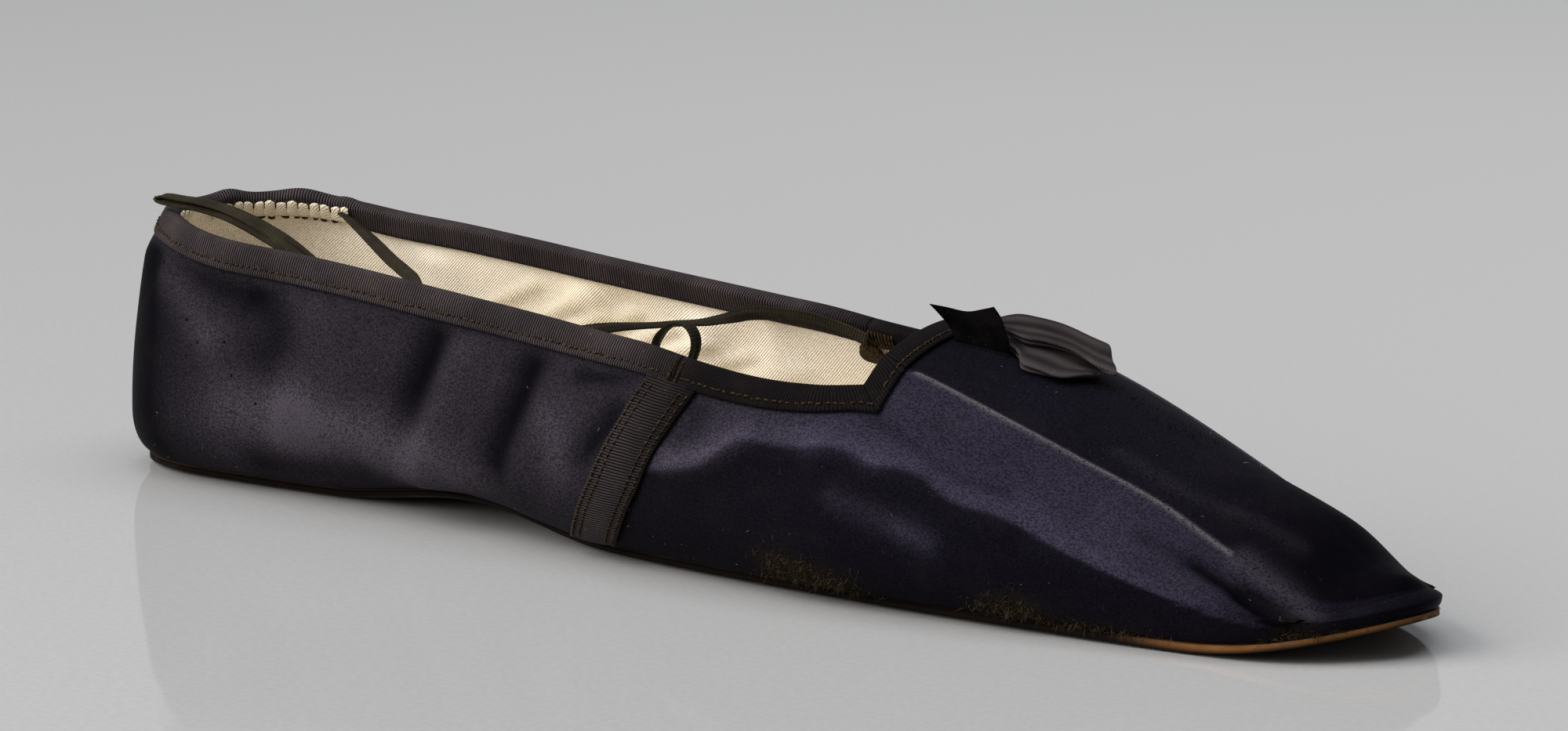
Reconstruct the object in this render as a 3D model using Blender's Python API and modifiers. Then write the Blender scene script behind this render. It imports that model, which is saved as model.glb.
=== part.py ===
"""Flat satin slipper with a bound topline, a ribbon bow and tape ties.

Toe along +X, heel along -X, up +Z. The floor is z = 0 and the origin lies under the middle of the shoe.
Sizes are in millimetres and are turned into metres when a mesh is made.
"""

import math
from collections import namedtuple

import bmesh
import bpy
import numpy as np

MM = 0.001

# Driving sizes of the shoe
LENGTH = 244.0
SOLE_THICK = 1.5
TOE_SOLE_THICK = 0.9
INSOLE_THICK = 1.0
INSOLE_MARGIN = 0.8
INSOLE_SHORT = 14.0
INSOLE_RISE = 0.2
WALL = 1.0
GAP = 0.3
ARCH_LIFT = 3.0
TOE_SPRING = 5.3
THROAT_X = 160.0
SOLE_EDGE = 0.4
SOLE_RISE = 0.7
SOLE_BEVEL = 3.0
TOE_BEVEL_FADE = 60.0
KNUCKLE = 0.45
HEEL_DRAW = 3.0
HEEL_MIDDLE = 24.0
DRAW_FROM = 8.0
DRAW_FADE = 26.0
DRAW_LEVEL = 0.54
DRAW_RISE = 0.18
RIBBON = 0.5
BINDING_DEPTH = 4.0
INNER_DEPTH = 3.3
SEAM_TOP_X = 127.0
SEAM_BOTTOM_X = 111.5
SEAM_WIDTH = 10.0
SEAM_FOOT_LEVEL = 0.3
TAPE_WIDTH = 2.2
TAPE_THICK = 0.4
BOW_RIBBON = 0.4
TAIL_NOTCH = 1.6
ANCHOR_X = 126.5
ANCHOR_SIZE = 4.0
ANCHOR_THICK = 1.4

# Floor contact along the shoe, measured from the back of the heel
HEEL_FLAT_END = 48.0
BALL_FLAT_START = 112.0
BALL_FLAT_END = 216.0

# The last, one row for each cross-section: half-widths at the feather, belly and ridge lines, and heights
Section = namedtuple("Section", "x feather belly belly_z ridge ridge_z crest_z")
LAST = (
    Section(0.0, 17.0, 22.5, 8.0, 13.0, 57.0, 59.0),
    Section(30.0, 16.5, 23.5, 12.5, 13.5, 56.0, 58.0),
    Section(60.0, 15.0, 23.5, 14.5, 13.5, 52.0, 54.0),
    Section(90.0, 17.0, 25.0, 14.0, 13.5, 47.0, 49.0),
    Section(120.0, 21.5, 28.0, 13.0, 14.0, 42.0, 44.0),
    Section(160.0, 23.5, 30.0, 12.0, 16.0, 34.5, 38.0),
    Section(182.0, 23.0, 27.5, 10.5, 16.0, 28.5, 32.3),
    Section(207.0, 21.0, 23.0, 8.5, 14.8, 18.8, 23.9),
    Section(226.0, 18.4, 19.6, 7.0, 15.4, 8.7, 17.9),
    Section(235.0, 16.8, 17.9, 6.0, 14.1, 6.9, 12.0),
    Section(244.0, 13.0, 14.0, 7.6, 12.5, 9.8, 10.6),
)

# Where each line of the last starts and ends on the middle plane, and how far its round ends reach
Ends = namedtuple("Ends", "back front heel_round toe_round")
FEATHER_ENDS = Ends(2.0, 243.2, 22.0, 20.0)
BELLY_ENDS = Ends(0.0, 244.0, 26.0, 20.0)
RIDGE_ENDS = Ends(7.0, 242.0, 20.0, 16.0)
CREST_ENDS = Ends(12.0, 239.5, 20.0, 22.0)
HEEL_POWER = 2.2
TOE_POWER = 2.0

# Height of the cut topline, from the back of the heel to the throat corner
Topline = namedtuple("Topline", "x z")
TOPLINE = (
    Topline(0.0, 40.5),
    Topline(12.0, 40.5),
    Topline(30.0, 38.6),
    Topline(45.0, 37.9),
    Topline(60.0, 36.9),
    Topline(75.0, 35.7),
    Topline(95.0, 34.2),
    Topline(110.0, 33.0),
    Topline(119.0, 32.3),
    Topline(130.0, 30.9),
    Topline(142.0, 29.9),
    Topline(152.0, 29.9),
    Topline(160.0, 30.6),
)


def column(table, name, x):
    """Value of a table's column at x, on a smooth curve through its rows."""
    xs = [row.x for row in table]
    ys = [getattr(row, name) for row in table]
    last = len(xs) - 1
    i = min(max(int(np.searchsorted(xs, x)) - 1, 0), last - 1)

    def slope(k):
        low, high = max(k - 1, 0), min(k + 1, last)
        return (ys[high] - ys[low]) / (xs[high] - xs[low])

    step = xs[i + 1] - xs[i]
    t = min(max((x - xs[i]) / step, 0.0), 1.0)
    h00, h10 = (1 + 2 * t) * (1 - t) ** 2, t * (1 - t) ** 2
    h01, h11 = t * t * (3 - 2 * t), t * t * (t - 1)
    return h00 * ys[i] + h10 * step * slope(i) + h01 * ys[i + 1] + h11 * step * slope(i + 1)


def round_end(distance, reach, power):
    """Share of the full width at a distance from a round end."""
    share = min(max(distance / reach, 0.0), 1.0)
    return (1 - (1 - share) ** power) ** (1 / power)


def half_width(name, ends, share):
    """(x, half-width) of one line of the last at a share of the way from heel to toe."""
    x = ends.back + share * (ends.front - ends.back)
    heel = round_end(x - ends.back, ends.heel_round, HEEL_POWER)
    toe = round_end(ends.front - x, ends.toe_round, TOE_POWER)
    return x, column(LAST, name, x) * heel * toe


def lift(x):
    """Height of the sole's underside over the floor."""
    if HEEL_FLAT_END < x < BALL_FLAT_START:
        return ARCH_LIFT * math.sin(math.pi * (x - HEEL_FLAT_END) / (BALL_FLAT_START - HEEL_FLAT_END)) ** 2
    if x > BALL_FLAT_END:
        return TOE_SPRING * ((x - BALL_FLAT_END) / (LENGTH - BALL_FLAT_END)) ** 1.7
    return 0.0


def sole_top(x):
    """Height of the sole's upper face, which thins toward the toe."""
    thin = min(max((x - BALL_FLAT_END) / (LENGTH - BALL_FLAT_END), 0.0), 1.0)
    return lift(x) + SOLE_THICK + (TOE_SOLE_THICK - SOLE_THICK) * thin


def soft_step(value):
    t = min(max(value, 0.0), 1.0)
    return t * t * (3 - 2 * t)


def drawn_in(point, t):
    """A point of the wall over the belly, drawn in toward the heel's middle just under the topline."""
    amount = HEEL_DRAW * soft_step((t - DRAW_LEVEL) / DRAW_RISE)
    amount *= 1 - soft_step((point[0] - DRAW_FROM) / DRAW_FADE)
    inward = np.array([HEEL_MIDDLE - point[0], -point[1], 0.0])
    return point + amount * inward / np.linalg.norm(inward)


def last_point(share, level):
    """Point of the upper's outer face on the -Y side.

    The level is 0 at the feather line, 1 at the belly, 2 at the ridge and 3 at the crest.
    """
    bx, by = half_width("feather", FEATHER_ENDS, share)
    mx, my = half_width("belly", BELLY_ENDS, share)
    rx, ry = half_width("ridge", RIDGE_ENDS, share)
    bz = sole_top(bx) + GAP
    mz, rz = column(LAST, "belly_z", mx), column(LAST, "ridge_z", rx)
    if level <= 1:
        turn = 0.5 * math.pi * level
        out, up = math.sin(turn), 1 - math.cos(turn)
        return np.array([bx + (mx - bx) * out, -by - (my - by) * out, bz + (mz - bz) * up])
    if level <= 2:
        t = level - 1
        belly = np.array([mx, -my, mz])
        ridge = np.array([rx, -ry, rz])
        knuckle = np.array([mx, -my, mz + KNUCKLE * (rz - mz)])
        return drawn_in((1 - t) ** 2 * belly + 2 * t * (1 - t) * knuckle + t * t * ridge, t)
    cx = CREST_ENDS.back + share * (CREST_ENDS.front - CREST_ENDS.back)
    cz = column(LAST, "crest_z", cx)
    t = level - 2
    return np.array([rx + (cx - rx) * t, -ry * (1 - t), cz - (cz - rz) * (1 - t) ** 2])


def edge_level(share):
    """Level at which the topline cuts the last."""
    height = column(TOPLINE, "z", min(share * LENGTH, THROAT_X))
    low, high = 1.0, 2.0
    for _ in range(40):
        middle = 0.5 * (low + high)
        if last_point(share, middle)[2] < height:
            low = middle
        else:
            high = middle
    return 0.5 * (low + high)


def shares():
    """Stations along the shoe, close together at the round ends."""
    heel_reach, toe_reach = BELLY_ENDS.heel_round, 25.0
    heel = [heel_reach * (1 - math.cos(0.5 * math.pi * k / 7)) for k in range(7)]
    quarter = list(np.linspace(heel_reach, THROAT_X, 13))
    vamp = list(np.linspace(THROAT_X, LENGTH - toe_reach, 9))[1:]
    toe = [LENGTH - toe_reach * (1 - math.cos(0.5 * math.pi * k / 7)) for k in range(6, -1, -1)]
    return [x / LENGTH for x in heel + quarter + vamp + toe]


THROAT = THROAT_X / LENGTH
SIDE_LEVELS = 8
TOP_LEVELS = 6


def levels(share):
    """Levels of the mesh rows at a station, two of them under the binding."""
    open_share = min(share, THROAT)
    edge = edge_level(open_share)
    bound = edge - below_edge(open_share, INNER_DEPTH)
    if share > THROAT:
        edge += (1.5 - edge) * (share - THROAT) / (1 - THROAT)
    hem = edge - bound
    side = [0.0, 0.35, 0.7, 1.0] + [1 + (hem - 1) * k / 3 for k in range(1, 4)] + [hem + 0.5 * bound, edge]
    if share < THROAT - 1e-9:
        return side
    return side + [edge + (2 - edge) * k / 3 for k in range(1, 4)] + [2 + k / 3 for k in range(1, 4)]


def outward(share, level):
    """Unit normal of the upper's outer face on the -Y side, pointing out of the shoe."""
    step = 0.001
    share = min(max(share, step), 1 - step)
    along = last_point(share + step, level) - last_point(share - step, level)
    up = last_point(share, level) - last_point(share, level - step)
    normal = np.cross(along, up)
    if level > 3 - step or share in (step, 1 - step):
        normal[1] = 0.0
    return normal / np.linalg.norm(normal)


def below_edge(share, depth):
    """Level at a depth under the topline, measured down the wall."""
    edge = edge_level(share)
    step = 0.05
    rise = np.linalg.norm(last_point(share, edge) - last_point(share, edge - step)) / step
    return edge - depth / rise


def clear_scene():
    for obj in list(bpy.data.objects):
        bpy.data.objects.remove(obj, do_unlink=True)


def collection_named(name):
    found = bpy.data.collections.new(name)
    bpy.context.scene.collection.children.link(found)
    return found


def finish(name, colour, roughness):
    material = bpy.data.materials.new(name)
    material.use_nodes = True
    shader = material.node_tree.nodes["Principled BSDF"]
    shader.inputs["Base Color"].default_value = (*colour, 1.0)
    shader.inputs["Roughness"].default_value = roughness
    shader.inputs["Metallic"].default_value = 0.0
    return material


def place(name, points, faces, material, collection):
    """A mesh object from points in millimetres, with x counted from the back of the heel."""
    mesh = bpy.data.meshes.new(name)
    centred = [((x - 0.5 * LENGTH) * MM, y * MM, z * MM) for x, y, z in points]
    mesh.from_pydata(centred, [], faces)
    weld = bmesh.new()
    weld.from_mesh(mesh)
    bmesh.ops.remove_doubles(weld, verts=weld.verts, dist=0.00001)
    weld.to_mesh(mesh)
    weld.free()
    mesh.materials.append(material)
    mesh.shade_smooth()
    mesh.set_sharp_from_angle(angle=math.radians(40))
    obj = bpy.data.objects.new(name, mesh)
    collection.objects.link(obj)
    return obj


def mirror_across(obj):
    """The other half, joined at the middle plane."""
    mirror = obj.modifiers.new("other_half", "MIRROR")
    mirror.use_axis = (False, True, False)
    mirror.merge_threshold = 0.00005


def thicken(obj, thickness, side):
    """A wall on an open surface: side 1 is out along its normals, -1 is in and 0 is both ways."""
    shell = obj.modifiers.new("thickness", "SOLIDIFY")
    shell.thickness = thickness * MM
    shell.offset = side
    shell.use_even_offset = True


def grid_faces(rows):
    """Quads between neighbouring rows of equally many points."""
    across = len(rows[0])
    corner = [(i * across + j) for i in range(len(rows) - 1) for j in range(across - 1)]
    return [(k, k + across, k + across + 1, k + 1) for k in corner]


def make_sheet(name, rows, thickness, side, material, collection):
    """A sheet of even thickness through rows of points."""
    points = [point for row in rows for point in row]
    obj = place(name, points, grid_faces(rows), material, collection)
    thicken(obj, thickness, side)
    return obj


def other_side(rows):
    """The same rows on the +Y side, in the order that keeps their outer face out."""
    return [[point * (1, -1, 1) for point in row] for row in reversed(rows)]


def make_upper(material, collection):
    """One hollow wall from the feather line to the topline, and on over the vamp."""
    stations = shares()
    points, index = [], {}
    for i, share in enumerate(stations):
        for j, level in enumerate(levels(share)):
            index[i, j] = len(points)
            points.append(last_point(share, level))
            if share in (0.0, 1.0) or level > 3 - 1e-6:
                points[-1][1] = 0.0
    faces = []
    for i in range(len(stations) - 1):
        for j in range(SIDE_LEVELS + TOP_LEVELS):
            corners = [(i, j), (i + 1, j), (i + 1, j + 1), (i, j + 1)]
            if all(corner in index for corner in corners):
                faces.append([index[corner] for corner in corners])
    upper = place("upper", points, faces, material, collection)
    mirror_across(upper)
    thicken(upper, WALL, -1)


def make_plate(name, ends, margin, low, high, rise, material, collection):
    """A flat piece of the sole's outline between two heights that follow the arch and the toe spring."""
    rows = []
    for share in shares():
        x, half = half_width("feather", ends, share)
        half = half + margin if half > 0.01 else 0.0
        flat = max(half - SOLE_BEVEL, 0.6 * half)
        edge = low(x) + rise * min(1.0, (LENGTH - x) / TOE_BEVEL_FADE)
        rows.append(
            [
                (x, 0.0, low(x)),
                (x, -0.5 * flat, low(x)),
                (x, -flat, low(x)),
                (x, -half, edge),
                (x, -half, high(x)),
                (x, -0.5 * half, high(x)),
                (x, 0.0, high(x)),
            ]
        )
    points = [point for row in rows for point in row]
    plate = place(name, points, grid_faces(rows), material, collection)
    mirror_across(plate)


def make_outsole(material, collection):
    """Thin turned sole with its edge rounded up from the floor."""
    ends = FEATHER_ENDS._replace(back=FEATHER_ENDS.back - SOLE_EDGE, front=FEATHER_ENDS.front + SOLE_EDGE)
    make_plate("outsole", ends, SOLE_EDGE, lift, sole_top, SOLE_RISE, material, collection)


def insole_bottom(x):
    return sole_top(x) + GAP


def insole_top(x):
    return insole_bottom(x) + INSOLE_THICK


def make_insole(material, collection):
    """Sock sheet on the sole, stopping short of the flat toe."""
    ends = FEATHER_ENDS._replace(back=FEATHER_ENDS.back + INSOLE_MARGIN, front=FEATHER_ENDS.front - INSOLE_SHORT)
    make_plate("insole", ends, -INSOLE_MARGIN, insole_bottom, insole_top, INSOLE_RISE, material, collection)


def fold_over(edge, edge_normal, outer, inner):
    """Points of a ribbon folded over a cut edge, from the outer leaf's hem to the inner leaf's.

    Each leaf holds points of the outer face under the edge with their normals, nearest first.
    """
    away = (edge - outer[0][0]) / np.linalg.norm(edge - outer[0][0])
    inside = WALL + GAP
    outer_leaf = [point + GAP * normal for point, normal in outer]
    inner_leaf = [point - inside * normal for point, normal in inner]
    crown = [edge + GAP * (edge_normal + away), edge - inside * edge_normal + GAP * away]
    return outer_leaf[::-1] + crown + inner_leaf


def topline_fold(share):
    """Binding section on the topline at a station."""

    def leaf(depth):
        at = [below_edge(share, 0.5 * depth), below_edge(share, depth)]
        return [(last_point(share, level), outward(share, level)) for level in at]

    edge = edge_level(share)
    rows = fold_over(last_point(share, edge), outward(share, edge), leaf(BINDING_DEPTH), leaf(INNER_DEPTH))
    if share == 0.0:
        rows = [point * (1, 0, 1) for point in rows]
    return rows


def throat_fold(level):
    """Binding section on the throat's edge at a level."""

    def leaf(depth):
        at = [THROAT + 0.5 * depth / LENGTH, THROAT + depth / LENGTH]
        return [(last_point(share, level), outward(share, level)) for share in at]

    rows = fold_over(last_point(THROAT, level), outward(THROAT, level), leaf(BINDING_DEPTH), leaf(INNER_DEPTH))
    if level == 3.0:
        rows = [point * (1, 0, 1) for point in rows]
    return rows


def make_bindings(material, collection):
    """Ribbon folded over the topline: round the quarters, along each vamp side and across the throat."""
    seam = SEAM_TOP_X / LENGTH
    joint = GAP / LENGTH
    quarter = [share for share in shares() if share < seam - 2 * joint] + [seam - joint]
    points = [topline_fold(share) for share in quarter]
    binding = make_sheet("quarter_binding", points, RIBBON, 1, material, collection)
    mirror_first(binding)

    clear = (2 * GAP + 2 * RIBBON) / LENGTH
    vamp = np.linspace(seam + joint, THROAT - clear, 5)
    points = [topline_fold(share) for share in vamp]
    make_sheet("vamp_binding_right", points, RIBBON, 1, material, collection)
    make_sheet("vamp_binding_left", other_side(points), RIBBON, 1, material, collection)

    corner = edge_level(THROAT)
    across = list(np.linspace(corner, 2.0, 5)) + [2 + k / 3 for k in range(1, 4)]
    points = [throat_fold(level) for level in across]
    binding = make_sheet("throat_binding", points, RIBBON, 1, material, collection)
    mirror_first(binding)


def mirror_first(obj):
    """Mirrors an open half before its thickness is added."""
    mirror_across(obj)
    obj.modifiers.move(len(obj.modifiers) - 1, 0)


def wall_strip(top_x, bottom_x, width, top_depth, bottom_level, offset):
    """Rows on the wall from one end of a slanted strip's width to the other, each from its foot to its head."""
    rows = []
    for side in (-0.5, -0.17, 0.17, 0.5):
        head = below_edge((top_x + side * width) / LENGTH, top_depth)
        row = []
        for k in range(9):
            t = k / 8
            share = (bottom_x + (top_x - bottom_x) * t + side * width) / LENGTH
            level = bottom_level + (head - bottom_level) * t
            row.append(last_point(share, level) + offset * outward(share, level))
        rows.append(row)
    return rows


def make_seam_tapes(material, collection):
    """Tape over each slanted side seam, from the binding's hem down to the sole."""
    hem = BINDING_DEPTH + GAP
    rows = wall_strip(SEAM_TOP_X, SEAM_BOTTOM_X, SEAM_WIDTH, hem, SEAM_FOOT_LEVEL, GAP)
    make_sheet("seam_tape_right", rows, RIBBON, 1, material, collection)
    make_sheet("seam_tape_left", other_side(rows), RIBBON, 1, material, collection)


def over_vamp(x, y, height):
    """Point at a height over the vamp, out along its normal."""
    share = x / LENGTH
    low, high = 1.2, 3.0
    for _ in range(40):
        middle = 0.5 * (low + high)
        if -last_point(share, middle)[1] > abs(y):
            low = middle
        else:
            high = middle
    point = last_point(share, low) + height * outward(share, low)
    return point * (1, -1, 1) if y > 0 else point


# Ribs of the bow's ribbon, each from its near edge to its far edge: shoe x, sideways y and height over the vamp
Rib = namedtuple("Rib", "near_x near_y near_high far_x far_y far_high")
FRONT_LOOP = (
    Rib(171.8, -2.2, 0.5, 168.8, 2.4, 0.5),
    Rib(174.9, -3.3, 0.5, 170.6, 3.8, 0.5),
    Rib(177.4, -5.6, 0.5, 173.0, 5.0, 0.5),
    Rib(180.4, -4.7, 0.5, 176.6, 6.4, 0.5),
    Rib(183.0, -2.4, 0.5, 180.4, 6.6, 0.5),
    Rib(184.9, 1.4, 0.7, 182.8, 6.0, 0.7),
    Rib(185.4, 0.9, 1.2, 183.2, 5.8, 1.2),
    Rib(183.8, -3.9, 1.2, 180.4, 5.8, 1.6),
    Rib(180.1, -5.1, 1.2, 176.2, 5.4, 1.8),
    Rib(177.2, -5.6, 1.2, 172.8, 4.2, 1.8),
    Rib(174.9, -3.5, 1.2, 170.6, 3.0, 1.8),
    Rib(171.8, -2.4, 1.2, 168.8, 2.2, 1.6),
)
BACK_LOOP = (
    Rib(170.8, -1.6, 2.3, 167.6, 0.2, 2.7),
    Rib(174.6, -1.5, 2.2, 170.2, 3.6, 3.2),
    Rib(177.4, 1.2, 2.2, 173.6, 6.4, 3.4),
    Rib(181.0, 2.6, 2.2, 177.4, 7.6, 3.6),
    Rib(186.6, 1.6, 2.3, 180.0, 7.8, 3.9),
    Rib(188.4, 2.0, 2.6, 181.6, 7.0, 4.3),
    Rib(185.2, 1.0, 2.75, 180.0, 5.4, 4.6),
    Rib(180.6, 1.8, 2.75, 175.6, 4.6, 4.7),
    Rib(177.0, 0.6, 2.75, 172.4, 2.4, 4.7),
    Rib(174.4, -1.6, 2.75, 170.2, 0.8, 4.5),
    Rib(170.8, -2.0, 2.75, 168.2, -1.0, 3.5),
)
TAIL = (
    Rib(165.7, -6.8, 0.5, 173.8, -3.7, 0.6),
    Rib(163.9, -6.3, 2.2, 172.9, -3.8, 2.6),
    Rib(162.6, -7.1, 3.9, 170.7, -3.2, 4.8),
    Rib(161.1, -7.6, 5.2, 169.1, -3.4, 6.2),
)


def ribbon_rows(ribs, dip=0.0):
    """Rows across a ribbon, each with a middle that dips toward the ribbon's other end."""
    rows = []
    for k, rib in enumerate(ribs):
        near, far = np.array(rib[:3]), np.array(rib[3:])
        near, middle, far = over_vamp(*near), over_vamp(*(0.5 * (near + far))), over_vamp(*far)
        if k == len(ribs) - 1 and dip:
            back = rows[-1][1] - middle
            middle = middle + dip * back / np.linalg.norm(back)
        rows.append([near, middle, far])
    return rows


def make_bow(material, collection):
    """Flattened ribbon bow on the throat: two loops and a tail with a notched end."""
    make_sheet("bow_front_loop", ribbon_rows(FRONT_LOOP), BOW_RIBBON, 0, material, collection)
    make_sheet("bow_back_loop", ribbon_rows(BACK_LOOP), BOW_RIBBON, 0, material, collection)
    make_sheet("bow_tail", ribbon_rows(TAIL, TAIL_NOTCH), BOW_RIBBON, 0, material, collection)


# Routes of the tie tapes: shoe x, sideways y, height and the width's turn from upright, in degrees
Route = namedtuple("Route", "x y z turn")
LEFT_TIE = (
    Route(128.4, 19.9, 28.8, -15.0),
    Route(125.4, 19.7, 29.7, -15.0),
    Route(122.2, 19.5, 30.4, -15.0),
    Route(118.7, 19.3, 31.0, -15.0),
    Route(115.6, 19.1, 31.2, -15.0),
    Route(112.4, 18.9, 31.2, -8.0),
    Route(109.4, 18.5, 31.1, 5.0),
    Route(107.2, 17.4, 31.0, 25.0),
    Route(106.1, 15.4, 30.7, 45.0),
    Route(105.8, 12.5, 30.6, 65.0),
    Route(105.8, 8.0, 30.7, 75.0),
    Route(105.6, 3.0, 31.2, 80.0),
    Route(105.6, -2.0, 31.6, 80.0),
    Route(105.5, -7.0, 32.1, 75.0),
    Route(105.0, -11.0, 32.4, 65.0),
    Route(104.2, -14.4, 32.4, 50.0),
    Route(102.4, -16.6, 31.9, 28.0),
    Route(99.0, -17.6, 30.8, 8.0),
    Route(94.0, -17.6, 29.7, 0.0),
    Route(88.0, -17.3, 29.0, 0.0),
    Route(82.0, -16.9, 28.9, 5.0),
    Route(76.0, -15.9, 29.4, 15.0),
    Route(70.0, -13.4, 30.6, 30.0),
    Route(63.0, -8.6, 32.2, 45.0),
    Route(56.0, -2.8, 33.4, 52.0),
    Route(49.5, 2.0, 33.6, 55.0),
    Route(42.1, 6.8, 34.1, 60.0),
    Route(35.3, 10.8, 35.2, 75.0),
    Route(30.2, 13.5, 36.2, 90.0),
    Route(26.1, 14.9, 37.5, 100.0),
    Route(23.6, 15.1, 38.5, 105.0),
)
RIGHT_TIE = (
    Route(118.0, -17.9, 28.0, 90.0),
    Route(118.3, -17.7, 30.4, 90.0),
    Route(118.9, -17.5, 32.2, 90.0),
    Route(120.0, -17.5, 33.9, 90.0),
    Route(121.8, -17.5, 35.2, 90.0),
    Route(123.5, -17.5, 35.8, 90.0),
    Route(125.2, -17.5, 35.5, 90.0),
    Route(126.3, -17.5, 34.3, 90.0),
    Route(126.5, -17.5, 32.6, 90.0),
    Route(125.8, -17.6, 30.6, 90.0),
    Route(124.6, -17.7, 28.4, 88.0),
    Route(122.8, -17.7, 26.2, 80.0),
    Route(120.2, -17.9, 24.4, 62.0),
    Route(116.6, -18.3, 23.2, 35.0),
    Route(112.0, -18.6, 22.6, 10.0),
    Route(98.0, -18.3, 23.0, 0.0),
    Route(81.0, -17.8, 24.0, 0.0),
    Route(71.0, -17.5, 26.4, 0.0),
    Route(61.0, -17.0, 30.0, 5.0),
    Route(54.0, -16.5, 33.0, 10.0),
    Route(48.0, -16.1, 35.4, 18.0),
    Route(40.0, -15.2, 38.5, 36.0),
    Route(36.0, -14.7, 39.7, 48.0),
    Route(31.8, -14.3, 40.8, 60.0),
    Route(26.0, -13.7, 41.9, 70.0),
    Route(20.0, -13.3, 42.4, 76.0),
    Route(15.5, -13.2, 42.5, 80.0),
    Route(12.0, -13.1, 42.6, 84.0),
    Route(10.9, -13.0, 43.0, 90.0),
    Route(12.1, -12.9, 43.4, 96.0),
    Route(15.7, -13.0, 43.3, 100.0),
    Route(20.2, -13.1, 43.2, 104.0),
    Route(26.2, -13.4, 42.65, 110.0),
    Route(32.0, -13.9, 41.5, 120.0),
    Route(36.3, -14.2, 40.3, 132.0),
    Route(40.4, -14.5, 39.0, 144.0),
    Route(44.4, -14.8, 37.4, 154.0),
    Route(48.4, -15.3, 35.7, 162.0),
    Route(53.0, -15.7, 33.7, 168.0),
)


def smooth_route(route, steps):
    """Points, and turns, on a smooth curve through a route."""
    stops = np.array(route)
    ends = np.vstack([2 * stops[0] - stops[1], stops, 2 * stops[-1] - stops[-2]])
    out = []
    for k in range(len(stops) - 1):
        a, b, c, d = ends[k : k + 4]
        for t in np.linspace(0, 1, steps, endpoint=False):
            bend = (2 * a - 5 * b + 4 * c - d) * t * t + (3 * b - a - 3 * c + d) * t**3
            out.append(0.5 * (2 * b + (c - a) * t + bend))
    return np.array(out + [stops[-1]])


def tape_rows(route, steps=2):
    """Rows across a flat tape along its route."""
    line = smooth_route(route, steps)
    points, turns = line[:, :3], np.radians(line[:, 3])
    ahead = np.gradient(points, axis=0)
    flat = np.array([0.0, 1.0, 0.0])
    rows = []
    for point, forward, turn in zip(points, ahead, turns):
        forward = forward / np.linalg.norm(forward)
        last = flat
        flat = np.cross(forward, (0, 0, 1)) if abs(forward[2]) < 0.9 else np.array([0.0, 1.0, 0.0])
        flat = flat - forward * (flat @ forward)
        flat = flat / np.linalg.norm(flat)
        flat = flat if flat @ last > 0 else -flat
        upright = np.cross(flat, forward)
        across = upright * math.cos(turn) + flat * math.sin(turn)
        rows.append([point - 0.5 * TAPE_WIDTH * across, point + 0.5 * TAPE_WIDTH * across])
    return rows


def make_ties(material, collection):
    """Narrow tapes that tie the shoe on, lying loose in it, and the left one's folded and sewn-down end."""
    make_sheet("tie_tape_left", tape_rows(LEFT_TIE), TAPE_THICK, 0, material, collection)
    make_sheet("tie_tape_right", tape_rows(RIGHT_TIE), TAPE_THICK, 0, material, collection)
    rows = []
    for x in (ANCHOR_X - 0.5 * ANCHOR_SIZE, ANCHOR_X, ANCHOR_X + 0.5 * ANCHOR_SIZE):
        share = x / LENGTH
        row = []
        for depth in (0.0, 0.5 * ANCHOR_SIZE, ANCHOR_SIZE):
            level = below_edge(share, INNER_DEPTH + GAP + depth)
            row.append(last_point(share, level) - (WALL + GAP) * outward(share, level))
        rows.append(row)
    make_sheet("left_tie_anchor", other_side(rows), ANCHOR_THICK, 1, material, collection)


def main():
    clear_scene()
    parts = collection_named("satin_slipper")
    satin = finish("satin", (0.012, 0.010, 0.022), 0.45)
    grosgrain = finish("grosgrain", (0.020, 0.019, 0.021), 0.6)
    bow_silk = finish("bow_silk", (0.012, 0.010, 0.014), 0.5)
    tape_silk = finish("tape_silk", (0.030, 0.025, 0.015), 0.6)
    sole_leather = finish("sole_leather", (0.20, 0.11, 0.05), 0.6)
    lining = finish("lining", (0.78, 0.70, 0.55), 0.8)

    make_outsole(sole_leather, parts)
    make_insole(lining, parts)
    make_upper(satin, parts)
    make_bindings(grosgrain, parts)
    make_seam_tapes(grosgrain, parts)
    make_bow(bow_silk, parts)
    make_ties(tape_silk, parts)


main()
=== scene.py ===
"""Looks of the flat satin slipper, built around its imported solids.

Toe along +X, heel along -X, up +Z, and the near side of the view is -Y. Sizes are in millimetres, with x
counted from the back of the heel, and become metres when a mesh is made.
"""

import math
from collections import namedtuple

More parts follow.
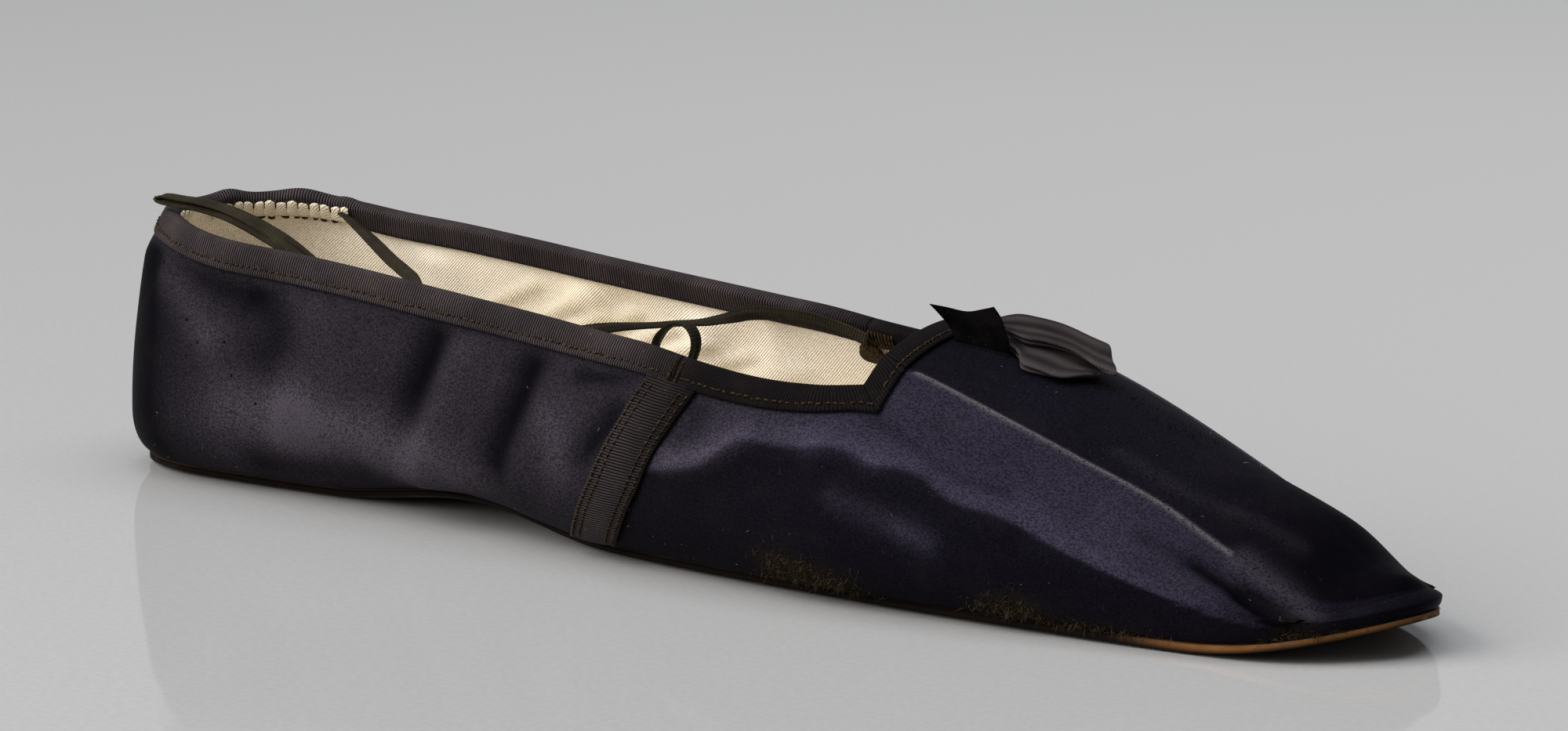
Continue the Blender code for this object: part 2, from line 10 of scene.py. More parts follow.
import bmesh
import bpy
import numpy as np
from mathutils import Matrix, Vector


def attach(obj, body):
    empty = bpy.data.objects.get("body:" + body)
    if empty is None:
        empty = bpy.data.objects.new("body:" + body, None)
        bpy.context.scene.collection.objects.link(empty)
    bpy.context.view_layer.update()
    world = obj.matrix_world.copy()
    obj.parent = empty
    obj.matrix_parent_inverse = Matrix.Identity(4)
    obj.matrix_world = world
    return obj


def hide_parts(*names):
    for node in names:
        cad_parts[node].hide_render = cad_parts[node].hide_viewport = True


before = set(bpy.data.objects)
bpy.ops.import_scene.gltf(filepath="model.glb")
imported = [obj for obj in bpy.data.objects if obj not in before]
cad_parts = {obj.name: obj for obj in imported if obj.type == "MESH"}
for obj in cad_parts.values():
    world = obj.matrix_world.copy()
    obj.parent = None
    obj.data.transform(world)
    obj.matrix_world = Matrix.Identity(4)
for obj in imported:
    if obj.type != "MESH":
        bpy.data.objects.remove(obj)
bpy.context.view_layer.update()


# Sole
# One thin piece of vegetable-tanned leather, sewn to the upper inside out and then turned. It lies flat
# under the heel and the ball, arches between them and lifts at the toe, where its rubbed edge shows
# orange-brown. Elsewhere its edge is blackened, and darkened further as painted shade under the satin.
MM = 0.001
WELD = 0.005
LENGTH = 244.0
SOLE_THICK = 1.5
TOE_SOLE_THICK = 0.9
SOLE_EDGE = 0.4
SOLE_RISE = 0.7
TOE_BEVEL_FADE = 60.0
BARE_FROM = 206.0
BARE_FADE = 16.0
SOLE_BEVEL = 3.0
ARCH_LIFT = 3.0
TOE_SPRING = 5.3
HEEL_FLAT_END = 48.0
BALL_FLAT_START = 112.0
BALL_FLAT_END = 216.0
SPRING_POWER = 1.7
HEEL_POWER = 2.2
TOE_POWER = 2.0
END_REACH = 26.0
END_ARC = 40.0
SOLE_SPACING = 1.6
FLAT_SHARE = 0.6
EDGE_FROM = 0.85
EDGE_FADE = 0.1

# The last, one row for each cross-section: half-widths at the feather, belly and ridge lines, and heights
Section = namedtuple("Section", "x feather belly belly_z ridge ridge_z crest_z")
LAST = (
    Section(0.0, 17.0, 22.5, 8.0, 13.0, 57.0, 59.0),
    Section(30.0, 16.5, 23.5, 12.5, 13.5, 56.0, 58.0),
    Section(60.0, 15.0, 23.5, 14.5, 13.5, 52.0, 54.0),
    Section(90.0, 17.0, 25.0, 14.0, 13.5, 47.0, 49.0),
    Section(120.0, 21.5, 28.0, 13.0, 14.0, 42.0, 44.0),
    Section(160.0, 23.5, 30.0, 12.0, 16.0, 34.5, 38.0),
    Section(182.0, 23.0, 27.5, 10.5, 16.0, 28.5, 32.3),
    Section(207.0, 21.0, 23.0, 8.5, 14.8, 18.8, 23.9),
    Section(226.0, 18.4, 19.6, 7.0, 15.4, 8.7, 17.9),
    Section(235.0, 16.8, 17.9, 6.0, 14.1, 6.9, 12.0),
    Section(244.0, 13.0, 14.0, 7.6, 12.5, 9.8, 10.6),
)

# Where a line of the last starts and ends on the middle plane, and how far its round ends reach
Ends = namedtuple("Ends", "back front heel_round toe_round")
FEATHER_ENDS = Ends(2.0, 243.2, 22.0, 20.0)


def column(table, name, x):
    """Values of a table's column at x, on a smooth curve through its rows."""
    stops = np.array([row.x for row in table])
    values = np.array([getattr(row, name) for row in table])
    ahead = np.append(np.arange(1, len(stops)), len(stops) - 1)
    behind = np.insert(np.arange(len(stops) - 1), 0, 0)
    slopes = (values[ahead] - values[behind]) / (stops[ahead] - stops[behind])
    i = np.clip(np.searchsorted(stops, x) - 1, 0, len(stops) - 2)
    step = stops[i + 1] - stops[i]
    t = np.clip((x - stops[i]) / step, 0.0, 1.0)
    straight = values[i] + (values[i + 1] - values[i]) * t * t * (3 - 2 * t)
    return straight + step * t * (1 - t) * ((1 - t) * slopes[i] - t * slopes[i + 1])


def round_end(distance, reach, power):
    """Share of the full width at a distance from a round end."""
    share = np.clip(distance / reach, 0.0, 1.0)
    return (1 - (1 - share) ** power) ** (1 / power)


def half_width(name, ends, share):
    """(x, half-width) of one line of the last at a share of the way from heel to toe."""
    x = ends.back + share * (ends.front - ends.back)
    heel = round_end(x - ends.back, ends.heel_round, HEEL_POWER)
    toe = round_end(ends.front - x, ends.toe_round, TOE_POWER)
    return x, column(LAST, name, x) * heel * toe


def lift(x):
    """Height of the sole's underside over the floor."""
    arch = np.clip((x - HEEL_FLAT_END) / (BALL_FLAT_START - HEEL_FLAT_END), 0.0, 1.0)
    toe = np.clip((x - BALL_FLAT_END) / (LENGTH - BALL_FLAT_END), 0.0, 1.0)
    return ARCH_LIFT * np.sin(math.pi * arch) ** 2 + TOE_SPRING * toe**SPRING_POWER


def sole_top(x):
    """Height of the sole's upper face, which thins toward the toe."""
    thin = np.clip((x - BALL_FLAT_END) / (LENGTH - BALL_FLAT_END), 0.0, 1.0)
    return lift(x) + SOLE_THICK + (TOE_SOLE_THICK - SOLE_THICK) * thin


def stations(spacing):
    """Shares along the shoe, a spacing apart in the middle and closer together at the round ends."""
    bend = 1 - np.cos(0.5 * math.pi * np.linspace(0, 1, round(END_ARC / spacing)))
    heel = END_REACH * bend
    toe = LENGTH - END_REACH * bend[::-1]
    middle = np.linspace(heel[-1], toe[0], round((toe[0] - heel[-1]) / spacing))
    return np.concatenate([heel, middle[1:-1], toe]) / LENGTH


def grid_faces(rows, columns, first=0):
    """Quads between neighbouring rows of points, counted from a first point."""
    corner = first + (np.arange(rows - 1)[:, None] * columns + np.arange(columns - 1)).ravel()
    return np.stack([corner, corner + columns, corner + columns + 1, corner + 1], axis=1).tolist()


def new_piece(name, points, faces, material, cloth=None, **masks):
    """A mesh piece that rides with the shoe, from points in millimetres.

    cloth is each point's place on the flat cloth, in millimetres. A mask is a value at each point for the
    material.
    """
    points = np.reshape(points, (-1, 3))
    mesh = bpy.data.meshes.new(name)
    mesh.from_pydata(((points - (0.5 * LENGTH, 0, 0)) * MM).tolist(), [], faces)
    if cloth is not None:
        corners = np.empty(len(mesh.loops), np.int32)
        mesh.loops.foreach_get("vertex_index", corners)
        layer = mesh.uv_layers.new(name="cloth")
        layer.uv.foreach_set("vector", np.reshape(cloth, (-1, 2))[corners].astype(np.float32).ravel())
    for label, values in masks.items():
        layer = mesh.attributes.new(label, "FLOAT", "POINT")
        layer.data.foreach_set("value", np.ravel(values).astype(np.float32))
    weld = bmesh.new()
    weld.from_mesh(mesh)
    bmesh.ops.remove_doubles(weld, verts=weld.verts, dist=WELD * MM)
    weld.to_mesh(mesh)
    weld.free()
    mesh.materials.append(material)
    mesh.shade_smooth()
    piece = bpy.data.objects.new(name, mesh)
    bpy.context.scene.collection.objects.link(piece)
    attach(piece, "root")
    return piece


def node(tree, kind, inputs=None, **settings):
    """A shader node with its settings. An input is a value, or a socket that is linked to it."""
    new = tree.nodes.new("ShaderNode" + kind)
    for key, value in settings.items():
        setattr(new, key, value)
    for key, value in (inputs or {}).items():
        if isinstance(value, bpy.types.NodeSocket):
            tree.links.new(value, new.inputs[key])
        else:
            new.inputs[key].default_value = value
    return new


def mix(tree, factor, first, second):
    """The colour between two colours: sockets 0, 6 and 7 are a colour mix's factor and colours."""
    return node(tree, "Mix", {0: factor, 6: first, 7: second}, data_type="RGBA").outputs[2]


def calculate(tree, operation, *values):
    """The result of a sum on sockets and numbers."""
    return node(tree, "Math", dict(enumerate(values)), operation=operation).outputs[0]


def spread(tree, value, low, high, to_low=0.0, to_high=1.0):
    """A value eased from one range to another."""
    inputs = {"Value": value, "From Min": low, "From Max": high, "To Min": to_low, "To Max": to_high}
    return node(tree, "MapRange", inputs, interpolation_type="SMOOTHSTEP").outputs["Result"]


def noise(tree, scale, detail=2.0, stretch=None):
    """Soft noise over the shoe, with a scale in waves to the metre, or stretched along its axes."""
    place = node(tree, "TexCoord").outputs["Object"]
    if stretch:
        place = node(tree, "Mapping", {"Vector": place, "Scale": stretch}).outputs["Vector"]
    return node(tree, "TexNoise", {"Vector": place, "Scale": scale, "Detail": detail}).outputs["Fac"]


def mask(tree, label):
    """A piece's own mask."""
    return node(tree, "Attribute", attribute_name=label).outputs["Fac"]


def new_material(name, constants):
    """(material, node tree, shader) of a new finish, with constants on the shader's own sockets."""
    material = bpy.data.materials.new(name)
    material.use_nodes = True
    shader = material.node_tree.nodes["Principled BSDF"]
    for label, value in constants.items():
        shader.inputs[label].default_value = value
    return material, material.node_tree, shader


def bump(tree, shader, height, distance, strength=1.0):
    """Relief on a shader from a height between 0 and 1, with its depth in millimetres."""
    inputs = {"Height": height, "Distance": distance * MM, "Strength": strength}
    tree.links.new(node(tree, "Bump", inputs).outputs["Normal"], shader.inputs["Normal"])


sole_leather, tree, shader = new_material("sole_leather", {"Specular IOR Level": 0.06})
stain = noise(tree, 90.0, 5.0)
tread = noise(tree, 700.0, 3.0, (0.25, 1.0, 1.0))
hide = mix(tree, spread(tree, stain, 0.35, 0.7), (0.115, 0.062, 0.030, 1), (0.235, 0.125, 0.052, 1))
scuffed = mix(tree, spread(tree, tread, 0.55, 0.75), hide, (0.065, 0.042, 0.026, 1))
# The edge is near-black: blackened leather, and painted shade under the overhanging satin
inked_and_shaded = mix(tree, mask(tree, "blackened"), scuffed, (0.0065, 0.0045, 0.0038, 1))
rubbed = calculate(tree, "MULTIPLY", mask(tree, "rubbed"), spread(tree, tread, 0.25, 0.6))
tree.links.new(mix(tree, rubbed, inked_and_shaded, (0.13, 0.052, 0.016, 1)), shader.inputs["Base Color"])
tree.links.new(spread(tree, tread, 0.3, 0.7, 0.5, 0.75), shader.inputs["Roughness"])
bump(tree, shader, calculate(tree, "ADD", tread, stain), 0.12)


def plate(ends, margin, low, high, rise):
    """(points, rows, columns) of a flat piece of the sole's outline: each row runs round one section."""
    share = stations(SOLE_SPACING)
    x, half = half_width("feather", ends, share)
    half = np.where(half > 0.01, half + margin, 0.0)
    flat = np.maximum(half - SOLE_BEVEL, FLAT_SHARE * half)
    bevel = np.linspace(FLAT_SHARE, 1.0, 7)
    under = np.concatenate([-bevel[::-1], np.linspace(-0.4, 0.4, 5), bevel])
    y = half[:, None] * under
    past = np.clip((np.abs(y) - flat[:, None]) / np.maximum(half - flat, 1e-6)[:, None], 0.0, 1.0)
    edge = rise * np.minimum(1.0, (LENGTH - x) / TOE_BEVEL_FADE)
    under_z = low(x)[:, None] + edge[:, None] * past**2
    over = np.linspace(1.0, -1.0, 9)
    y = np.hstack([y, half[:, None] * over, y[:, :1]])
    z = np.hstack([under_z, np.repeat(high(x)[:, None], len(over), axis=1), under_z[:, :1]])
    points = np.stack([np.repeat(x[:, None], y.shape[1], axis=1), y, z], axis=2)
    return points[:, ::-1], len(share), y.shape[1]


sole_ends = FEATHER_ENDS._replace(back=FEATHER_ENDS.back - SOLE_EDGE, front=FEATHER_ENDS.front + SOLE_EDGE)
points, rows, columns = plate(sole_ends, SOLE_EDGE, lift, sole_top, SOLE_RISE)
outer = np.abs(points[:, :, 1]) / np.maximum(np.abs(points[:, :, 1]).max(axis=1, keepdims=True), 1e-6)
at_edge = np.clip((outer - EDGE_FROM) / EDGE_FADE, 0.0, 1.0)
bottom, top = lift(points[:, :, 0]), sole_top(points[:, :, 0])
upper_edge = np.clip((points[:, :, 2] - bottom) / (top - bottom), 0.0, 1.0)
bare = upper_edge**2 * np.clip((points[:, :, 0] - BARE_FROM) / BARE_FADE, 0.0, 1.0)
outsole = new_piece(
    "outsole_leather",
    points,
    grid_faces(rows, columns),
    sole_leather,
    rubbed=at_edge * bare,
    blackened=at_edge * (1 - bare),
)
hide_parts("outsole")


# Insole
# A sock of plain linen pasted on the sole inside the shoe, yellowed and soiled in patches. It stops short
# of the flat toe, out of sight.
GAP = 0.3
INSOLE_THICK = 1.0
INSOLE_MARGIN = 0.8
INSOLE_RISE = 0.2
INSOLE_SHORT = 14.0


def node_group(name, inputs, outputs):
    """(group, its input node, its output node) for an effect that several materials use."""
    group = bpy.data.node_groups.new(name, "ShaderNodeTree")
    for label, kind in inputs.items():
        group.interface.new_socket(label, in_out="INPUT", socket_type="NodeSocket" + kind)
    for label, kind in outputs.items():
        group.interface.new_socket(label, in_out="OUTPUT", socket_type="NodeSocket" + kind)
    return group, group.nodes.new("NodeGroupInput"), group.nodes.new("NodeGroupOutput")


def even_threads(tree, place, pitch, drift):
    """Threads side by side in a cloth, a pitch apart and drifting a little out of line."""
    turns = calculate(tree, "DIVIDE", place, pitch)
    return calculate(tree, "SINE", calculate(tree, "MULTIPLY_ADD", turns, 2 * math.pi, drift))


plain_weave, given, result = node_group("plain_weave", {"Pitch": "Float"}, {"Height": "Float"})
cloth_place = node(plain_weave, "UVMap", uv_map="cloth").outputs["UV"]
waver = node(plain_weave, "TexNoise", {"Vector": cloth_place, "Scale": 0.6}).outputs["Fac"]
drift = calculate(plain_weave, "MULTIPLY", waver, 5.0)
across_cloth = node(plain_weave, "SeparateXYZ", {"Vector": cloth_place})
threads = []
for axis in ("X", "Y"):
    threads.append(even_threads(plain_weave, across_cloth.outputs[axis], given.outputs["Pitch"], drift))
crossing = calculate(plain_weave, "MULTIPLY", *threads)
plain_weave.links.new(spread(plain_weave, crossing, -1.0, 1.0), result.inputs["Height"])

sock_linen, tree, shader = new_material("sock_linen", {"Roughness": 0.85, "Sheen Weight": 0.15})
weave = node(tree, "Group", {"Pitch": 0.8}, node_tree=plain_weave).outputs["Height"]
soil = spread(tree, noise(tree, 45.0, 4.0), 0.35, 0.75)
linen = mix(tree, soil, (0.60, 0.50, 0.35, 1), (0.36, 0.28, 0.17, 1))
# Painted shade in the weave's sunk threads
woven = mix(tree, spread(tree, weave, 0.0, 0.4), (0.28, 0.21, 0.12, 1), linen)
tree.links.new(woven, shader.inputs["Base Color"])
bump(tree, shader, weave, 0.1)


def insole_bottom(x):
    """Height of the insole's underside, a gap over the sole."""
    return sole_top(x) + GAP


def insole_top(x):
    """Height of the insole's upper face."""
    return insole_bottom(x) + INSOLE_THICK


insole_ends = FEATHER_ENDS._replace(
    back=FEATHER_ENDS.back + INSOLE_MARGIN,
    front=FEATHER_ENDS.front - INSOLE_SHORT,
)
points, rows, columns = plate(insole_ends, -INSOLE_MARGIN, insole_bottom, insole_top, INSOLE_RISE)
insole = new_piece("insole_linen", points, grid_faces(rows, columns), sock_linen, cloth=points[:, :, :2])
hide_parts("insole")


# Satin upper
# Dark silk satin, a pair of quarters and a vamp, drawn over the last wet so that it dried with soft folds.
# The ridges along the vamp are rubbed pale, and the lower edge is worn through to brown threads where it
# met the floor. The sheen on its folds and smooth stretches, and the shade in its troughs, at the heel and on
# the vamp's top, are painted into its colour.
WALL = 1.0
SATIN = 0.5
UPPER_SPACING = 1.1
KNUCKLE = 0.45
HEEL_DRAW = 3.0
HEEL_MIDDLE = 24.0
DRAW_FROM = 8.0
DRAW_FADE = 26.0
DRAW_LEVEL = 0.54
DRAW_RISE = 0.18
HALVINGS = 30
THROAT_X = 160.0
THROAT = THROAT_X / LENGTH
NEAR = -1
FAR = 1
BELLY_ENDS = Ends(0.0, 244.0, 26.0, 20.0)
RIDGE_ENDS = Ends(7.0, 242.0, 20.0, 16.0)
CREST_ENDS = Ends(12.0, 239.5, 20.0, 22.0)

# Height of the cut topline, from the back of the heel to the throat corner
Topline = namedtuple("Topline", "x z")
TOPLINE = (
    Topline(0.0, 40.5),
    Topline(12.0, 40.5),
    Topline(30.0, 38.6),
    Topline(45.0, 37.9),
    Topline(60.0, 36.9),
    Topline(75.0, 35.7),
    Topline(95.0, 34.2),
    Topline(110.0, 33.0),
    Topline(119.0, 32.3),
    Topline(130.0, 30.9),
    Topline(142.0, 29.9),
    Topline(152.0, 29.9),
    Topline(160.0, 30.6),
)


def soft_step(value):
    """A smooth step from 0 to 1."""
    t = np.clip(value, 0.0, 1.0)
    return t * t * (3 - 2 * t)


def bell(value):
    """1 where a value is 0, falling off smoothly either side."""
    return np.exp(-(value**2))


def drawn_in(points, t):
    """Points of the wall over the belly, drawn in toward the heel's middle just under the topline."""
    amount = HEEL_DRAW * soft_step((t - DRAW_LEVEL) / DRAW_RISE)
    amount = amount * (1 - soft_step((points[..., :1] - DRAW_FROM) / DRAW_FADE))
    inward = (HEEL_MIDDLE, 0, 0) - points * (1, 1, 0)
    return points + amount * inward / np.linalg.norm(inward, axis=-1, keepdims=True)


def wall(share, level, side):
    """Points of the last's face.

    The level is 0 at the feather line, 1 at the belly, 2 at the ridge and 3 at the crest.
    """
    share, level = np.broadcast_arrays(np.asarray(share, float), np.asarray(level, float))
    fx, fy = half_width("feather", FEATHER_ENDS, share)
    bx, by = half_width("belly", BELLY_ENDS, share)
    rx, ry = half_width("ridge", RIDGE_ENDS, share)
    cx = CREST_ENDS.back + share * (CREST_ENDS.front - CREST_ENDS.back)
    fz = sole_top(fx) + GAP
    bz = column(LAST, "belly_z", bx)
    rz = column(LAST, "ridge_z", rx)
    cz = column(LAST, "crest_z", cx)

    turn = 0.5 * math.pi * np.minimum(level, 1)
    out, up = np.sin(turn), 1 - np.cos(turn)
    low = np.stack([fx + (bx - fx) * out, fy + (by - fy) * out, fz + (bz - fz) * up], axis=-1)
    t = np.clip(level - 1, 0, 1)[..., None]
    belly = np.stack([bx, by, bz], axis=-1)
    knuckle = np.stack([bx, by, bz + KNUCKLE * (rz - bz)], axis=-1)
    ridge = np.stack([rx, ry, rz], axis=-1)
    middle = drawn_in((1 - t) ** 2 * belly + 2 * t * (1 - t) * knuckle + t * t * ridge, t)
    t = np.clip(level - 2, 0, 1)
    top = np.stack([rx + (cx - rx) * t, ry * (1 - t), cz - (cz - rz) * (1 - t) ** 2], axis=-1)
    level = level[..., None]
    return np.where(level <= 1, low, np.where(level <= 2, middle, top)) * (1, side, 1)


def outward(share, level, side):
    """Unit normals of the last's face."""
    step = 0.001
    share, level = np.broadcast_arrays(np.asarray(share, float), np.asarray(level, float))
    inside = np.clip(share, step, 1 - step)
    along = wall(inside + step, level, side) - wall(inside - step, level, side)
    up = wall(inside, level, side) - wall(inside, level - step, side)
    normal = np.cross(along, up) * -side
    on_middle = (share < step) | (share > 1 - step) | (level > 3 - step)
    normal[..., 1] = np.where(on_middle, 0.0, normal[..., 1])
    return normal / np.linalg.norm(normal, axis=-1, keepdims=True)


def level_where(share, low, high, still_holds):
    """Level between two levels up to which a test holds, found by halving the gap."""
    low, high = np.full_like(share, low), np.full_like(share, high)
    for _ in range(HALVINGS):
        middle = 0.5 * (low + high)
        holds = still_holds(middle)
        low, high = np.where(holds, middle, low), np.where(holds, high, middle)
    return low


def edge_level(share):
    """Level at which the topline cuts the last."""
    share = np.asarray(share, float)
    height = column(TOPLINE, "z", np.minimum(share * LENGTH, THROAT_X))
    return level_where(share, 1.0, 2.0, lambda level: wall(share, level, NEAR)[..., 2] < height)


def below_edge(share, depth):
    """Level at a depth under the topline, measured down the wall."""
    step = 0.05
    edge = edge_level(share)
    rise = np.linalg.norm(wall(share, edge, NEAR) - wall(share, edge - step, NEAR), axis=-1) / step
    return edge - depth / rise


# Folds of the satin: how far each stands out, or sinks in, its half-width, how much painted highlight (above
# 0) or painted shade (below 0) it puts in the cloth's colour, how far it is rubbed bare, and its path along
#    the
# shoe as pairs of x and level
Fold = namedtuple("Fold", "side height width light rub path")
FOLDS = (
    Fold(NEAR, -1.3, 3.4, -0.28, 0, ((77.3, 1.57), (77.3, 1.39), (75.1, 1.18), (72.9, 0.85))),
    Fold(NEAR, 0.8, 4.0, 0.14, 0, ((84.0, 1.41), (81.7, 1.17), (77.3, 0.89), (74.0, 0.52))),
    Fold(NEAR, -1.2, 3.4, -0.27, 0, ((98.3, 1.50), (97.2, 1.29), (95.0, 1.10), (92.8, 0.86))),
    Fold(NEAR, 0.7, 4.0, -0.02, 0, ((104.9, 1.39), (101.6, 1.13), (96.1, 0.69))),
    Fold(NEAR, -0.7, 2.2, -0.24, 0, ((118.1, 1.37), (114.8, 1.21), (111.5, 1.06))),
    Fold(NEAR, -0.6, 1.6, -0.22, 0, ((119.2, 1.56), (109.3, 1.49))),
    Fold(NEAR, 0.3, 4.0, 0.30, 0, ((106.0, 1.25), (108.0, 1.05))),
    Fold(NEAR, -0.9, 4.5, -0.18, 0, ((40.9, 1.46), (45.3, 1.34), (43.1, 1.21))),
    Fold(NEAR, 0.5, 6.0, 0.14, 0, ((52.0, 1.42), (58.0, 1.20))),
    Fold(NEAR, -0.9, 4.0, -0.18, 0, ((12.0, 1.56), (24.0, 1.50), (36.0, 1.47))),
    Fold(NEAR, 0.7, 3.2, 0.30, 0, ((16.7, 1.52), (25.5, 1.40), (31.0, 1.28))),
    Fold(NEAR, 0.5, 5.0, 0.74, 0, ((50.0, 0.94), (54.2, 0.90), (66.3, 0.82), (77.3, 0.66))),
    Fold(NEAR, 0.2, 6.0, 0.30, 0, ((36.0, 1.02), (46.4, 0.94))),
    Fold(NEAR, 0.2, 5.0, 0.36, 0, ((75.0, 0.60), (86.0, 0.62))),
    Fold(NEAR, -0.4, 3.0, -0.20, 0, ((40.0, 0.50), (52.0, 0.54), (62.0, 0.52))),
    Fold(NEAR, -0.4, 14.0, -0.90, 0, ((4.0, 1.30), (5.0, 0.60))),
    Fold(
        NEAR, 0.4, 0.4, 0.12, 0.8,
        ((166.0, 2.01), (182.0, 2.00), (196.0, 2.02), (204.2, 2.06), (210.8, 2.09), (221.8, 2.12)),
    ),
    Fold(NEAR, -0.4, 1.4, -0.12, 0, ((209.0, 1.74), (216.3, 1.80), (222.0, 1.83))),
    Fold(NEAR, -0.4, 1.6, -0.22, 0, ((218.0, 1.81), (225.1, 1.83), (230.6, 1.62))),
    Fold(NEAR, -0.7, 1.9, -0.42, 0, ((226.0, 1.82), (230.6, 1.62), (234.0, 0.60))),
    Fold(NEAR, 0.6, 2.0, 0.16, 0.14, ((224.0, 2.14), (228.5, 2.12), (232.8, 2.06), (235.0, 1.70))),
    Fold(NEAR, 0.3, 1.4, 0.02, 0.04, ((200.0, 2.30), (213.0, 2.33), (223.0, 2.46), (231.0, 2.46))),
    Fold(NEAR, 0.9, 3.0, 0, 0, ((131.0, 1.16), (137.0, 1.20), (144.6, 1.40), (152.0, 1.40), (160.0, 1.46))),
    Fold(NEAR, 0.9, 3.2, 0, 0, ((160.0, 1.46), (167.0, 1.44), (175.5, 1.45), (182.0, 1.38), (189.0, 1.36))),
    Fold(NEAR, 0.7, 3.2, 0, 0, ((189.0, 1.36), (197.5, 1.27), (205.3, 1.18), (214.0, 1.04), (223.0, 0.92))),
    Fold(NEAR, -0.8, 4.0, 0, 0, ((150.0, 1.58), (160.0, 1.66), (172.0, 1.68), (186.0, 1.68), (200.0, 1.62))),
    Fold(NEAR, 0.5, 2.0, 0.14, 0, ((162.5, 1.21), (168.5, 1.16), (173.3, 1.12), (178.8, 1.04))),
    Fold(NEAR, 0.3, 1.6, 0.12, 0, ((174.5, 1.11), (178.8, 1.04))),
    Fold(NEAR, -0.5, 2.6, -0.18, 0, ((132.5, 1.56), (133.6, 1.43), (131.4, 1.33))),
    Fold(NEAR, 0.5, 1.6, 0.24, 0, ((131.4, 1.18), (139.1, 1.29), (144.6, 1.43))),
    Fold(NEAR, 0.3, 1.6, 0.14, 0, ((156.0, 1.48), (163.0, 1.53), (168.0, 1.50))),
    Fold(NEAR, -0.5, 0.8, -0.11, 0, ((164.5, 1.72), (173.3, 1.65), (181.0, 1.58), (188.7, 1.60))),
    Fold(FAR, -1.2, 3.8, -0.28, 0, ((70.0, 1.52), (69.0, 1.30), (66.0, 1.05))),
    Fold(FAR, 0.7, 4.5, 0.12, 0, ((77.0, 1.45), (74.0, 1.00))),
    Fold(FAR, -1.1, 3.8, -0.26, 0, ((94.0, 1.45), (91.0, 1.20), (86.0, 0.85))),
    Fold(FAR, 0.6, 4.5, 0.12, 0, ((101.0, 1.42), (95.0, 0.95))),
    Fold(FAR, -0.8, 4.5, -0.20, 0, ((38.0, 1.48), (40.0, 1.15))),
    Fold(FAR, 0.6, 5.0, 0.62, 0, ((30.0, 0.96), (56.0, 0.84), (82.0, 0.86), (100.0, 0.84))),
    Fold(
        FAR, 0.5, 1.0, 0.16, 0.6,
        ((166.0, 2.00), (182.0, 2.00), (196.0, 2.00), (210.0, 2.00), (222.0, 1.95)),
    ),
    Fold(FAR, -1.0, 2.4, -0.40, 0, ((216.0, 1.90), (224.0, 1.85), (230.0, 1.55), (233.5, 0.50))),
    Fold(FAR, 0.8, 3.2, 0.10, 0, ((132.0, 1.20), (146.0, 1.38), (160.0, 1.44), (178.0, 1.42))),
    Fold(FAR, 0.7, 3.4, 0, 0, ((178.0, 1.42), (196.0, 1.28), (212.0, 1.08), (222.0, 0.95))),
    Fold(FAR, -0.7, 4.0, 0, 0, ((152.0, 1.60), (170.0, 1.66), (196.0, 1.64))),
    Fold(FAR, 0.5, 3.0, 0.25, 0, ((160.0, 1.18), (172.0, 1.12))),
)

# How far from the bindings and from the feather line the folds set in
HELD_FLAT = 3.0
HELD_FADE = 4.0
FOOT_FADE = 0.3

# The line along the vamp's side over which the satin turns up to the light, and where a band of painted sheen
# begins
Wave = namedtuple("Wave", "x level")
WAVE = (
    Wave(112.0, 1.02),
    Wave(129.2, 1.11),
    Wave(136.9, 1.18),
    Wave(140.2, 1.26),
    Wave(143.5, 1.37),
    Wave(147.9, 1.40),
    Wave(154.5, 1.43),
    Wave(160.1, 1.48),
    Wave(164.5, 1.48),
    Wave(167.0, 1.45),
    Wave(171.1, 1.48),
    Wave(175.5, 1.48),
    Wave(178.8, 1.42),
    Wave(182.1, 1.38),
    Wave(188.7, 1.38),
    Wave(193.1, 1.35),
    Wave(197.6, 1.28),
    Wave(205.3, 1.18),
    Wave(214.1, 1.04),
    Wave(224.0, 0.84),
    Wave(234.0, 0.55),
)

# How pale a painted sheen makes each stretch of smooth satin, and where along the shoe and over which levels
# it changes; where it is low, the satin is left in painted shade
QUARTER_LIGHT = 0.28
QUARTER_FRONT = 110.0
QUARTER_SLANT = 12.0
QUARTER_FADE = 4.0
VAMP_LIGHT = 0.06
BAND_LIGHT = 0.30
BAND_END = 238.0
BAND_FADE = 20.0
WAVE_FADE = 0.05
RIM_LIGHT = 0.12
RIM_LEVEL = 0.10
RIM_WIDTH = 0.12
RIDGE_LEVEL = 1.98
RIDGE_FADE = 0.06
RIDGE_CLIMB = 0.10
CLIMB_FROM = 196.0
CLIMB_FADE = 22.0
TOP_LIGHT = 0.07
TOP_DIMS_FROM = 205.0
TOP_DIMS_FADE = 30.0

# Places worn through to brown threads
Worn = namedtuple("Worn", "side x level along up strength")
WORN = (
    Worn(NEAR, 151.5, 0.46, 4.6, 2.4, 1.0),
    Worn(NEAR, 158.5, 0.36, 6.5, 2.4, 1.0),
    Worn(NEAR, 190.5, 0.40, 5.2, 2.2, 1.0),
    Worn(NEAR, 203.0, 0.18, 9.0, 1.2, 0.6),
    Worn(NEAR, 234.0, 0.30, 4.0, 1.6, 0.7),
    Worn(FAR, 154.0, 0.40, 9.0, 2.4, 0.8),
    Worn(FAR, 196.0, 0.35, 8.0, 2.0, 0.7),
    Worn(FAR, 234.0, 0.30, 4.0, 1.6, 0.6),
)


